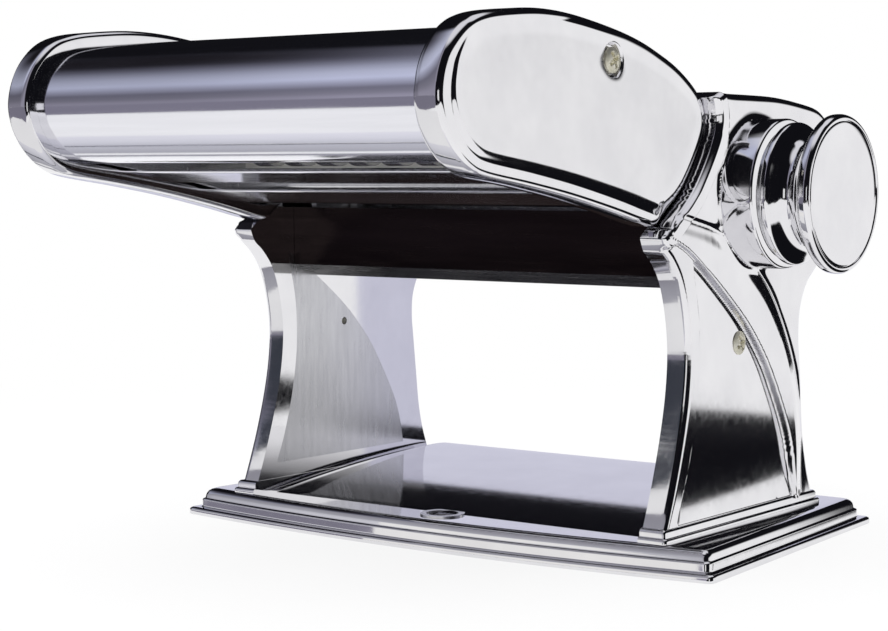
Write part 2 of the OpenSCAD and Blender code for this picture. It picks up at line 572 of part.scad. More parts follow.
// the folded covers follow the cap's outline, in stretches with a feed slot or an outlet between them
cover_line = inset(cap_line, 4);
cover_half = cap_in - seat;
function stretch(a, b) =
    [for (i = [a : (b < a ? b + len(cover_line) : b)]) cover_line[i % len(cover_line)]];
module cover(a, b) along_x(-cover_half, cover_half) strip(stretch(a, b), sheet_t);
module front_cover() color("slategray") cover(65, 12);
module middle_cover() color("slategray") cover(57, 62);
module rear_lid() color("slategray") cover(40, 55);
module under_covers() color("slategray") {
    cover(15, 18);
    cover(20, 23);
}

u_back = [cos(lift_angle), -sin(lift_angle)];
module cutter_plate() {
    difference() {
        along_x(cut_in, cut_out) difference() {
            polygon(shrunk(cap_line, 4 + sheet_t + seat));
            for (p = [rail_a, rail_b]) oblong(rail_r + fit, p, p + 20 * u_back);
        }
        for (p = [narrow_up, narrow_low, wide_up, wide_low])
            rod(cut_bush_r + seat, cut_in - 1, cut_out + 1, p);
        for (p = cut_rods) rod(1.6 + seat, cut_in - 1, cut_out + 1, p);
        rod(1.5, cut_in - 1, cut_out + 1, cap_screw);
    }
}
module right_cutter_plate() color("silver") cutter_plate();
module left_cutter_plate() color("silver") mirror([1, 0, 0]) cutter_plate();
module cutter_tie_rods() color("silver") for (p = cut_rods) {
    rod(2.4, -cut_in + seat, cut_in - seat, p);
    rod(1.6, -cut_out - 1, cut_out + 1, p);
}
module cutter_bushes() color("darkgoldenrod") both() for (p = [narrow_up, narrow_low, wide_up, wide_low])
    difference() {
        rod(cut_bush_r, cut_in - 0.1, cut_out + 1, p);
        rod(cut_shaft_r + fit, cut_in - 1, cut_out + 2, p);
    }

// a roller of discs on a core; a shift of one strip makes its partner
module cutter_roller(at, r, strip_w, shifted, driven) {
    core = r - 2.6;
    gap = 0.08;
    n = floor(cut_half / (2 * strip_w) - 0.5);
    first = -(2 * n + 1) * strip_w / 2 * 2 + (shifted ? strip_w : 0);
    left = driven ? cut_end : gear_in + gear_t;
    discs = [for (i = [0 : 2 * n]) first + strip_w * 2 * i + strip_w / 2];
    turned(at) polygon(concat(
        [[0, -left], [cut_shaft_r, -left], [cut_shaft_r, -cut_in + 0.3], [core, -cut_in + 0.3]],
        [for (x = discs) each [[core, x - strip_w / 2 + gap], [r, x - strip_w / 2 + gap],
                               [r, x + strip_w / 2 - gap], [core, x + strip_w / 2 - gap]]],
        [[core, cut_in - 0.3], [cut_shaft_r, cut_in - 0.3], [cut_shaft_r, cut_out + 1.4],
         [0, cut_out + 1.4]]));
}
module narrow_upper_roller() color("lightsteelblue") difference() {
    cutter_roller(narrow_up, narrow_r, narrow_strip, false, true);
    crank_socket(cut_end, 8, narrow_up, cut_shaft_r);
}
module narrow_lower_roller() color("lightsteelblue")
    cutter_roller(narrow_low, narrow_r, narrow_strip, true, false);
module wide_upper_roller() color("lightsteelblue") difference() {
    cutter_roller(wide_up, wide_r, wide_strip, false, true);
    crank_socket(cut_end, 8, wide_up, cut_shaft_r);
}
module wide_lower_roller() color("lightsteelblue")
    cutter_roller(wide_low, wide_r, wide_strip, true, false);

cutter_teeth = 14;
// the two gears of a pair share a phase that puts a tooth of one in a gap of the other
module cutter_gear(at, half, lower) {
    phase = -tilt + (lower ? 180 + 180 / cutter_teeth : 0);
    translate([-gear_in - gear_t + 0.1, at[0], at[1]]) rotate([90, 0, 90]) linear_extrude(gear_t - 0.8)
        gear(cutter_teeth, half, half * 2 / cutter_teeth * 0.92, half * 2 / cutter_teeth * 1.2, 0.16,
             cut_shaft_r + seat, phase);
}
module narrow_upper_gear() color("darkgray") cutter_gear(narrow_up, narrow_half, false);
module narrow_lower_gear() color("darkgray") cutter_gear(narrow_low, narrow_half, true);
module wide_upper_gear() color("darkgray") cutter_gear(wide_up, wide_half, false);
module wide_lower_gear() color("darkgray") cutter_gear(wide_low, wide_half, true);

// combs whose fingers clear each groove on the way out
module combs(at_up, at_low, r, strip_w) {
    n = floor(cut_half / (2 * strip_w) - 0.5);
    first = -(2 * n + 1) * strip_w;
    for (side = [0, 1]) {
        at = side == 0 ? at_up : at_low;
        shift = side == 0 ? 0 : strip_w;
        along = side == 0 ? -1 : 1;
        bar = at + (r + 2.2) * [along * 0.62, -0.78];
        tip = at + (r - 1.9) * [along * 0.62, -0.78];
        along_x(-cut_in + seat, cut_in - seat) translate(bar) square([1.6, 1.6], center = true);
        for (i = [0 : 2 * n - 1]) {
            x = first + shift + strip_w * 2 * i + strip_w;
            along_x(x + 0.3, x + strip_w - 0.3)
                polygon([bar + [0.7, 0], tip + [0.5, 0.2], tip + [-0.5, 0.2], bar + [-0.7, 0]]);
        }
    }
}
module narrow_combs() color("ivory") combs(narrow_up, narrow_low, narrow_r, narrow_strip);
module wide_combs() color("ivory") combs(wide_up, wide_low, wide_r, wide_strip);

base_plate();
rubber_feet();
base_screws();
clamp_bush();
right_stand();
left_stand();
right_stiffener();
left_stiffener();
panel_screws();
right_frame_plate();
left_frame_plate();
frame_tie_rods();
cutter_rails();
front_hood();
front_apron();
rear_cover();
front_hopper_guide();
rear_hopper_guide();
roller_wipers();
rear_bushes();
knob_bearing();
index_ring();
rear_roller();
rear_roller_gear();
front_roller();
front_roller_gear();
roller_yokes();
adjuster_shaft();
cams();
knob_body();
knob_cap();
index_pins();
right_cap();
left_cap();
cap_screws();
front_cover();
middle_cover();
rear_lid();
under_covers();
right_cutter_plate();
left_cutter_plate();
cutter_tie_rods();
cutter_bushes();
narrow_combs();
wide_combs();
narrow_upper_roller();
narrow_upper_gear();
narrow_lower_roller();
narrow_lower_gear();
wide_upper_roller();
wide_upper_gear();
wide_lower_roller();
wide_lower_gear();
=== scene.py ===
import json
import math

import bmesh
import bpy
import numpy as np
from mathutils.geometry import tessellate_polygon
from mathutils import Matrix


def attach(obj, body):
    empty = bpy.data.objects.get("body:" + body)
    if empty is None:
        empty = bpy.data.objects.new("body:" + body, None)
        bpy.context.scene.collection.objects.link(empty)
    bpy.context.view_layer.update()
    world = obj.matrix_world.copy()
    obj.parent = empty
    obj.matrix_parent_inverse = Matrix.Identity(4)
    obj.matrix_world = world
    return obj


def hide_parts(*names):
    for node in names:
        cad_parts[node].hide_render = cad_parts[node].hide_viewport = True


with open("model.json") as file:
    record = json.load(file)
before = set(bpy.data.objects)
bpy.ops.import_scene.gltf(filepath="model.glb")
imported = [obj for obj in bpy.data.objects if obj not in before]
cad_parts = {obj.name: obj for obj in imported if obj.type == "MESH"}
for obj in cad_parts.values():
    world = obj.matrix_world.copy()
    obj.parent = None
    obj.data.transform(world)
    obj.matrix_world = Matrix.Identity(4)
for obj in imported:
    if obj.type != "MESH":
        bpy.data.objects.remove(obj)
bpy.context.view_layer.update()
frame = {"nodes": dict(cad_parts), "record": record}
nodes = frame["nodes"]
print("frame loaded,", len(nodes), "nodes")

# Shapes are worked out in millimetres, as (y, z) outlines with x across the machine, and scaled once
mm = 0.001


# a curve through the keys: each span is the cubic whose end slopes are half the step between its neighbours
def curveThrough(keys, perSpan, closed=False):
    k = np.asarray(keys, float)
    if closed:
        a, b, c, d = np.roll(k, 1, 0), k, np.roll(k, -1, 0), np.roll(k, -2, 0)
    else:
        long = np.vstack([k[:1], k, k[-1:]])
        a, b, c, d = long[:-3], long[1:-2], long[2:-1], long[3:]
    a, b, c, d = (q[:, None, :] for q in (a, b, c, d))
    t = (np.arange(perSpan) / perSpan)[None, :, None]
    p = 0.5 * (2 * b + (c - a) * t + (2 * a - 5 * b + 4 * c - d) * t**2 + (3 * b - a - 3 * c + d) * t**3)
    p = p.reshape(-1, k.shape[1])
    return p if closed else np.vstack([p, k[-1:]])


# the same line with its points an equal way apart
def evenly(line, count, closed=False):
    way = np.vstack([line, line[:1]]) if closed else np.asarray(line, float)
    s = np.concatenate([[0], np.cumsum(np.linalg.norm(np.diff(way, axis=0), axis=1))])
    at = np.linspace(0, s[-1], count, endpoint=not closed)
    return np.stack([np.interp(at, s, way[:, i]) for i in range(way.shape[1])], 1)


# unit vectors to the left of the line at each of its points
def leftOf(line, closed=False):
    step = (np.roll(line, -1, 0) - np.roll(line, 1, 0)) if closed else np.gradient(line, axis=0)
    left = np.stack([-step[:, 1], step[:, 0]], 1)
    return left / np.linalg.norm(left, axis=1)[:, None]


chunk = 8000  # points that are compared with a line at a time
onLine = 0.002  # a point this close to a line lies on it and looks to its left


# shortest way from each point to a line of straight pieces, the unit vector away from it, and on which side
def wayTo(points, line, closed=True):
    a = (line if closed else line[:-1]).astype(np.float32)
    b = (np.roll(line, -1, 0) if closed else line[1:]).astype(np.float32)
    ab = b - a
    size = np.maximum((ab * ab).sum(1), 1e-9)
    flat = points.reshape(-1, 2).astype(np.float32)
    way, away, left = np.empty(len(flat)), np.empty((len(flat), 2)), np.empty(len(flat))
    for i in range(0, len(flat), chunk):
        p = flat[i:i + chunk]
        ap = p[:, None, :] - a
        t = np.clip((ap * ab).sum(-1) / size, 0, 1)
        gap = ap - t[..., None] * ab
        best = (gap * gap).sum(-1).argmin(1)
        row = np.arange(len(p))
        near = gap[row, best]
        far = np.sqrt((near * near).sum(-1))
        across = np.stack([-ab[best, 1], ab[best, 0]], 1) / np.sqrt(size[best])[:, None]
        way[i:i + chunk] = far
        away[i:i + chunk] = np.where(far[:, None] > onLine, near / np.maximum(far, 1e-6)[:, None], across)
        left[i:i + chunk] = ab[best, 0] * ap[row, best, 1] - ab[best, 1] * ap[row, best, 0]
    shape = points.shape[:-1]
    return way.reshape(shape), away.reshape(*shape, 2), np.where(left > 0, 1, -1).reshape(shape)


# depth inside a closed outline with its slope, below zero outside: sign by the count of edges crossed
def depthIn(points, line):
    a, b = line, np.roll(line, -1, 0)
    flat = points.reshape(-1, 2)
    odd = np.empty(len(flat), bool)
    for i in range(0, len(flat), chunk):
        y, z = flat[i:i + chunk, :1], flat[i:i + chunk, 1:]
        hit = (a[:, 1] > z) != (b[:, 1] > z)
        rise = np.where(hit, b[:, 1] - a[:, 1], 1)
        cross = hit & (y < a[:, 0] + (z - a[:, 1]) / rise * (b[:, 0] - a[:, 0]))
        odd[i:i + chunk] = cross.sum(1) % 2 == 1
    sign = np.where(odd, 1, -1).reshape(points.shape[:-1])
    way, away, _ = wayTo(points, line)
    return sign * way, sign[..., None] * away


# depth on the left of an open line with its slope
def depthBy(points, line):
    way, away, side = wayTo(points, line, False)
    return side * way, side[..., None] * away


# corners of a profile cut back and bridged by a parabola that touches both sides
def softened(profile, cut, steps=5, closed=False):
    p = np.asarray(profile, float)
    t = np.linspace(0, 1, steps)[:, None]
    before, after = np.roll(p, 1, 0), np.roll(p, -1, 0)
    out = []
    for i in range(len(p)):
        if not closed and i in (0, len(p) - 1):
            out.append(p[i:i + 1])
            continue
        u, v = before[i] - p[i], after[i] - p[i]
        c = min(cut, 0.45 * np.linalg.norm(u), 0.45 * np.linalg.norm(v))
        s, e = p[i] + u / np.linalg.norm(u) * c, p[i] + v / np.linalg.norm(v) * c
        out.append((1 - t) ** 2 * s + 2 * t * (1 - t) * p[i] + t**2 * e)
    return np.vstack(out)


# 0 to 1 with level ends
def ease(t):
    t = np.clip(t, 0, 1)
    return t * t * (3 - 2 * t)


# quads between neighbouring points of a grid that is stored row by row
def gridFaces(rows, cols, loopRows=False, loopCols=False, start=0):
    r, c = np.meshgrid(np.arange(rows if loopRows else rows - 1),
                       np.arange(cols if loopCols else cols - 1), indexing="ij")
    r2, c2 = (r + 1) % rows, (c + 1) % cols
    quads = np.stack([r * cols + c, r * cols + c2, r2 * cols + c2, r2 * cols + c], -1)
    return (quads.reshape(-1, 4) + start).tolist()


# the index of each point round the edge of a grid
def gridBorder(rows, cols):
    index = np.arange(rows * cols).reshape(rows, cols)
    return np.concatenate([index[0, :-1], index[:-1, -1], index[-1, :0:-1], index[:0:-1, 0]])


# outlines stacked at their heights and closed at both ends
def stackedSkin(plan, levels):
    rings = [plan(inset) for inset, _ in levels]
    verts = np.concatenate([np.column_stack([ring, np.full(len(ring), z)])
                            for ring, (_, z) in zip(rings, levels)])
    n = len(rings[0])
    ends = [list(range(n)), list(range(len(verts) - n, len(verts)))]
    return verts, gridFaces(len(rings), n, loopCols=True) + ends


# a new object in the scene
def placed(name, data):
    thing = bpy.data.objects.new(name, data)
    bpy.context.scene.collection.objects.link(thing)
    return thing


# a mesh in metres, its doubled points joined and its faces turned outward
def closedMesh(name, verts, faces):
    mesh = bpy.data.meshes.new(name)
    mesh.from_pydata((np.asarray(verts, float) * mm).tolist(), [], faces)
    shell = bmesh.new()
    shell.from_mesh(mesh)
    bmesh.ops.remove_doubles(shell, verts=shell.verts, dist=1e-6)
    bmesh.ops.recalc_face_normals(shell, faces=shell.faces)
    shell.to_mesh(mesh)
    shell.free()
    return mesh


# smooth all over but at edges sharper than an angle
def smoothed(mesh, sharp):
    mesh.shade_smooth()
    mesh.set_sharp_from_angle(angle=math.radians(sharp))


# a finished piece on its moving body, with its material, in place of the nodes that it replaces
def buildPiece(name, verts, faces, body, finish, replaced=(), sharp=32):
    mesh = closedMesh(name, verts, faces)
    smoothed(mesh, sharp)
    piece = placed(name, mesh)
    mesh.materials.append(finishes[finish])
    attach(piece, body)
    if replaced:
        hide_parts(*replaced)
    return piece


# the piece with other closed shapes taken out of it
def cutAway(piece, cutters, sharp=32):
    for verts, faces in cutters:
        tool = closedMesh("tool", verts, faces)
        cutter = placed("tool", tool)
        cut = piece.modifiers.new("cut", "BOOLEAN")
        cut.operation, cut.object, cut.solver = "DIFFERENCE", cutter, "EXACT"
        done = bpy.data.meshes.new_from_object(piece.evaluated_get(bpy.context.evaluated_depsgraph_get()))
        piece.modifiers.clear()
        old, piece.data = piece.data, done
        bpy.data.meshes.remove(old)
        bpy.data.objects.remove(cutter)
        bpy.data.meshes.remove(tool)
    piece.data.name = piece.name
    smoothed(piece.data, sharp)


# a profile of (radius, x) carried round the axis along X through (y, z)
def turnedSkin(profile, at, sides=128, ring=False):
    p = np.asarray(profile, float)
    a = 2 * np.pi * np.arange(sides) / sides
    r, x = p[:, :1], p[:, 1:]
    verts = np.stack([x + 0 * a, at[0] + r * np.cos(a), at[1] + r * np.sin(a)], -1).reshape(-1, 3)
    return verts, gridFaces(len(p), sides, loopRows=ring, loopCols=True)


# a round bar along X
def barAlong(radius, lo, hi, at, sides=64):
    return turnedSkin([[0, lo], [radius, lo], [radius, hi], [0, hi]], at, sides)


# a closed (y, z) outline carried along X between the given stations
def carriedAlong(loop, stations):
    x = np.asarray(stations, float)
    n = len(loop)
    verts = np.concatenate([np.column_stack([np.full(n, s), loop]) for s in x])
    faces = gridFaces(len(x), n, loopCols=True)
    return verts, faces + [list(range(n)), list(range((len(x) - 1) * n, len(x) * n))]


# a folded sheet: the line, its copy one thickness to the left, and a shallow round hem at both ends
def sheetLoop(line, thick):
    left, bulge = leftOf(line), 0.3 * thick
    mid, way = line + left * thick / 2, np.stack([left[:, 1], -left[:, 0]], 1)
    a = np.linspace(0, np.pi, 7)[1:-1, None]
    tail = mid[-1] - thick / 2 * np.cos(a) * left[-1] + bulge * np.sin(a) * way[-1]
    head = mid[0] + thick / 2 * np.cos(a) * left[0] - bulge * np.sin(a) * way[0]
    return np.vstack([line, tail, (line + left * thick)[::-1], head])


# the sheet carried across the machine
def sheetPiece(name, line, thick, half, body, finish, replaced):
    verts, faces = carriedAlong(sheetLoop(line, thick), np.linspace(-half, half, 25))
    return buildPiece(name, verts, faces, body, finish, replaced)


# the same on the other side of the machine
def mirrored(verts):
    return np.asarray(verts, float) * [-1, 1, 1]


# a socket takes a link, a number or a colour
def feed(tree, socket, value):
    if isinstance(value, bpy.types.NodeSocket):
        tree.links.new(value, socket)
    else:
        socket.default_value = (*value, 1) if socket.type == "RGBA" else value


# a shader node with its inputs fed by name or number
def addNode(tree, kind, inputs=(), operation=None):
    node = tree.nodes.new("ShaderNode" + kind)
    if operation:
        node.operation = operation
    for key, value in dict(inputs).items():
        feed(tree, node.inputs[key], value)
    return node


# the result of a math node on its two or three values
def mathOf(tree, operation, *values):
    return addNode(tree, "Math", enumerate(values), operation).outputs[0]


# the place on the piece itself, in metres
def placeOf(tree):
    return addNode(tree, "TexCoord").outputs["Object"]


# a value carried from one span over to another, straight or with level ends
def between(tree, value, start, stop, low=0, high=1, level=True):
    node = addNode(tree, "MapRange", {"Value": value, "From Min": start, "From Max": stop, "To Min": low,
                                      "To Max": high})
    if level:
        node.interpolation_type = "SMOOTHSTEP"
    return node.outputs["Result"]


# one colour where the factor is 0 and the other where it is 1
def mixedTone(tree, factor, one, two):
    node = tree.nodes.new("ShaderNodeMix")
    node.data_type = "RGBA"
    for key, value in (("Factor", factor), ("A", one), ("B", two)):
        feed(tree, node.inputs[key], value)
    return node.outputs["Result"]


# a noise over the piece, stretched by a scale for each axis
def grain(tree, place, scale, stretch=(1, 1, 1), detail=3):
    turn = addNode(tree, "Mapping", {"Vector": place, "Scale": stretch})
    noise = addNode(tree, "TexNoise", {"Vector": turn.outputs["Vector"], "Scale": scale, "Detail": detail,
                                       "Roughness": 0.55})
    return noise.outputs["Fac"]


# the middle of a noise spread over a span of values
def spread(tree, noise, low, high, middle=(0.3, 0.7)):
    return between(tree, noise, *middle, low, high, False)


# relief of a height in millimetres, on top of a coarser one
def relief(tree, shader, value, height, coarser=None):
    bump = addNode(tree, "Bump", {"Distance": height * mm, "Strength": 1, "Height": value})
    if coarser is not None:
        feed(tree, bump.inputs["Normal"], coarser)
    feed(tree, shader.inputs["Normal"], bump.outputs["Normal"])
    return bump.outputs["Normal"]


# a material whose colour wanders between a dark and a pale tone
def newFinish(name, look):
    material = bpy.data.materials.new(name)
    material.use_nodes = True
    tree = material.node_tree
    place = placeOf(tree)
    shader = tree.nodes["Principled BSDF"]
    tint = spread(tree, grain(tree, place, look["tintScale"], look["stretch"]), 0, 1)
    feed(tree, shader.inputs["Base Color"], mixedTone(tree, tint, look["dark"], look["pale"]))
    return material, tree, shader, place


# metal whose colour, gloss and relief each follow their own grain
def metalFinish(name, look):
    material, tree, shader, place = newFinish(name, look)
    feed(tree, shader.inputs["Metallic"], 1)
    gloss = spread(tree, grain(tree, place, look["glossScale"], look["stretch"], 5), *look["roughness"])
    if "satin" in look:
        # the faces of the castings are duller than their polished rims
        mark = tree.nodes.new("ShaderNodeAttribute")
        mark.attribute_name = "satin"
        gloss = mathOf(tree, "MULTIPLY_ADD", mark.outputs["Fac"], look["satin"], gloss)
    feed(tree, shader.inputs["Roughness"], gloss)
    broad = relief(tree, shader, grain(tree, place, look["waveScale"], detail=1), look["wave"])
    relief(tree, shader, grain(tree, place, look["fineScale"], look["stretch"], 4), look["fine"], broad)
    return material


# plastic or rubber, which has one fine relief
def plainFinish(name, look):
    material, tree, shader, place = newFinish(name, look)
    gloss = spread(tree, grain(tree, place, look["glossScale"]), *look["roughness"])
    feed(tree, shader.inputs["Roughness"], gloss)
    relief(tree, shader, grain(tree, place, look["fineScale"], detail=4), look["fine"])
    return material


even = (1, 1, 1)  # a grain that is stretched in no direction
metals = {
    "polished_chrome": dict(dark=(0.75, 0.745, 0.77), pale=(0.81, 0.805, 0.825), tintScale=60, stretch=even,
                            glossScale=420, roughness=(0.05, 0.085), satin=0.16, waveScale=26, wave=0.006,
                            fineScale=900, fine=0.0006),
    "satin_cover": dict(dark=(0.84, 0.84, 0.89), pale=(0.9, 0.9, 0.95), tintScale=300, stretch=(0.04, 1, 1),
                        glossScale=700, roughness=(0.07, 0.13), waveScale=18, wave=0.01,
                        fineScale=2600, fine=0.0016),
    # painted shade: the apron's near-black colour stands in for the shadow under and inside the machine's
    # body
    "dark_apron": dict(dark=(0.014, 0.01, 0.01), pale=(0.034, 0.024, 0.024), tintScale=90,
                       stretch=(0.1, 1, 1), glossScale=500, roughness=(0.16, 0.3), waveScale=18, wave=0.01,
                       fineScale=1600, fine=0.003),
    "bare_steel": dict(dark=(0.57, 0.57, 0.59), pale=(0.64, 0.64, 0.66), tintScale=420, stretch=(1, 1, 0.12),
                       glossScale=900, roughness=(0.2, 0.28), waveScale=14, wave=0.004,
                       fineScale=2400, fine=0.0016),
    "ground_roller": dict(dark=(0.62, 0.62, 0.64), pale=(0.72, 0.72, 0.74), tintScale=260,
                          stretch=(1, 0.08, 0.08), glossScale=900, roughness=(0.1, 0.2), waveScale=20,
                          wave=0.004, fineScale=3000, fine=0.0016),
    "gear_steel": dict(dark=(0.33, 0.33, 0.34), pale=(0.48, 0.47, 0.46), tintScale=220, stretch=even,
                       glossScale=500, roughness=(0.26, 0.42), waveScale=60, wave=0.006,
                       fineScale=1500, fine=0.006),
    "bearing_bronze": dict(dark=(0.52, 0.33, 0.16), pale=(0.68, 0.46, 0.24), tintScale=240, stretch=even,
                           glossScale=500, roughness=(0.22, 0.36), waveScale=60, wave=0.004,
                           fineScale=1800, fine=0.004),
    "yellow_screw": dict(dark=(0.9, 0.87, 0.72), pale=(0.97, 0.95, 0.85), tintScale=500, stretch=even,
                         glossScale=900, roughness=(0.5, 0.62), waveScale=120, wave=0.004,
                         fineScale=2600, fine=0.002),
}
plains = {
    "white_plastic": dict(dark=(0.78, 0.77, 0.73), pale=(0.84, 0.83, 0.8), tintScale=80, stretch=even,
                          glossScale=900, roughness=(0.34, 0.46), fineScale=1400, fine=0.006),
    "wiper_plastic": dict(dark=(0.05, 0.05, 0.055), pale=(0.08, 0.08, 0.085), tintScale=90, stretch=even,
                          glossScale=900, roughness=(0.38, 0.55), fineScale=1400, fine=0.008),
    "foot_rubber": dict(dark=(0.03, 0.03, 0.032), pale=(0.055, 0.055, 0.058), tintScale=110, stretch=even,
                        glossScale=900, roughness=(0.62, 0.85), fineScale=900, fine=0.02),
}
finishes = {name: metalFinish(name, look) for name, look in metals.items()}
finishes.update({name: plainFinish(name, look) for name, look in plains.items()})
for row in frame["record"]["subparts"]:
    part = nodes[row["node"]]
    if not part.material_slots:
        part.data.materials.append(None)
    for place in part.material_slots:
        place.material = finishes[row["material_slot"]]
print("finishes made:", len(finishes))


# outlines as (y, z): the end cap, the stand's leg and head, the crown round the boss, the rib and the panel
capKeys = [(-148.3, 128), (-146.3, 123.6), (-142.4, 118.8), (-137, 115), (-130, 112.8), (-111.5, 110.2),
           (-92, 107.1), (-72, 103.2), (-56, 99.7), (-49.5, 98.9), (-45.6, 101.4), (-35.5, 109.1),
           (-27.2, 119), (-22.8, 127), (-23.3, 133.6), (-28, 138.9), (-37.5, 144.3), (-48.4, 148.3),
           (-59, 151.3), (-73, 153.9), (-91, 156.1), (-106, 156.6), (-120, 155.6), (-131, 154),
           (-138.5, 151.2), (-144.4, 145.9), (-147.8, 140), (-149.2, 133.6)]
perKey = 12
capCurve = curveThrough(capKeys, perKey, True)
legFront = [(-52.3, 95.6), (-50.4, 91.8), (-46.6, 88.6), (-42.4, 83.4), (-39.6, 76.5), (-37.7, 68),
            (-37.2, 60), (-38.2, 50), (-40.4, 40), (-43.4, 30), (-46.6, 21), (-50.4, 11.5)]
legBack = [(41, 11.5), (37.4, 20.4), (35, 30), (33.4, 43), (32, 55), (31.2, 63), (32, 71), (36, 78.5),
           (43.6, 84.6), (50.4, 93), (54, 103), (55, 114), (53.4, 124), (49.4, 130.6)]
headTop = [(49.4, 130.6), (42.6, 134.2), (30, 136), (15, 137.2), (0, 137.4), (-13, 137.4), (-20, 137.8)]
crownKeys = [(-16.5, 133.2), (-16.6, 125), (-19.6, 116.6), (-27, 107.6), (-34, 102.4), (-22, 99.6),
             (-6, 93.6), (8, 84.6), (18, 76), (27, 74.6), (35, 82), (43, 88.6), (48.2, 97),
             (50.6, 108), (50.2, 119), (46.6, 127), (38, 130.6), (20, 132.6), (0, 133.6)]
ribOuter = [(-40, 100.4), (-22, 96.6), (-7.3, 90.6), (8.4, 79.8), (18.2, 68.5), (26, 55.4), (30.6, 42),
            (32.2, 29.3), (32.6, 13)]
ribInner = [(26.6, 13), (22.2, 32), (12.1, 49.3), (4, 59.6), (-7, 70), (-24, 82.2), (-37, 90.6), (-44.6, 94)]
panelBack = [(-34.4, 88.2), (-24, 82), (-7, 69.8), (4, 59.4), (12.1, 49), (22, 32), (26, 17.5)]
panelFront = [(-41, 17.5), (-37, 27), (-33.6, 38), (-31.2, 50), (-30.4, 60), (-31, 72), (-33.2, 82)]

# along X: back and face of the stands, flange and open side of the caps; then the axes and the screws
halfWidth, rimX, capX, capIn = 75, 82.5, 79, 70
knobZ, rollerZ, rearY = 107.8, 91.5, 25.6
capScrew, panelScrew = (-73.2, 144.6), (-6, 63)


# end cap: (key number, value) stops round the outline say where the crown fades into the flange (fade) and
# where it rolls straight down to the edge (roll), how far in it stands (inset) and where the flat part ends
capLook = dict(around=392, wall=4.8, thick=2.4, lap=1.5, shoulder=2.3, rim=2.0, rimUp=2.2, rimShare=0.3,
               low=80.45, high=79.35, dome=0.25, domeWay=18, recess=5.2,
               recessSteps=[(5.05, 0.08), (4.8, 0.35), (4.5, 0.95), (4.3, 1.4), (4.1, 1.5), (0, 1.5)],
               spine=[(-128, 134.5), (-100, 132.5), (-72, 129.5), (-50, 121)],
               fade=[(0, 0), (19.5, 0), (20.6, 1), (24, 1), (25.6, 0), (27, 0)],
               roll=[(0, 0), (9.4, 0), (10.6, 1), (18.6, 1), (20.4, 0), (27, 0)],
               inset=[(0, 5.8), (2, 6.4), (5, 7), (7.5, 7.4), (9, 6.6), (11, 4.6), (15, 4.4), (18.6, 3.3),
                      (20.4, 3), (24, 3.2), (26, 5), (27, 5.6)],
               flat=[(0, 4.2), (2, 3.6), (5, 3.4), (9, 3), (11, 2.2), (20.4, 2.2), (24, 2.2), (26, 3.8),
                     (27, 4.3)])


# the crown's face leans in from its low part to its top: straight over 50 mm of height, from 106 up
def faceHeight(p):
    z = (p[..., 1] - 106) / 50
    return capLook["low"] + (capLook["high"] - capLook["low"]) * np.clip(z, 0, 1)


# points at the given ways in from the outline, each found along its own straight line to the spine
def ringsIn(outline, spine, depths):
    t = np.linspace(0, 1, 110)[:, None, None]
    toward = spine - outline
    way = np.maximum.accumulate(wayTo(outline + toward * t, outline[::2])[0], 0)
    column = np.arange(len(outline))
    rings = []
    for depth in depths:
        depth = np.minimum(depth, way[-1] - 1e-3)
        hi = np.clip((way < depth).sum(0), 1, len(t) - 1)
        below, above = way[hi - 1, column], way[hi, column]
        f = (hi - 1 + np.clip((depth - below) / np.maximum(above - below, 1e-9), 0, 1)) / (len(t) - 1)
        rings.append(outline + toward * f[:, None])
    return rings


# a value at each point round the outline, straight between the stops at its keys
def roundWeight(stops):
    keyAt = np.arange(capLook["around"]) / capLook["around"] * len(capKeys)
    at, value = np.array(stops, float).T
    return np.interp(keyAt, at, value, period=len(capKeys))


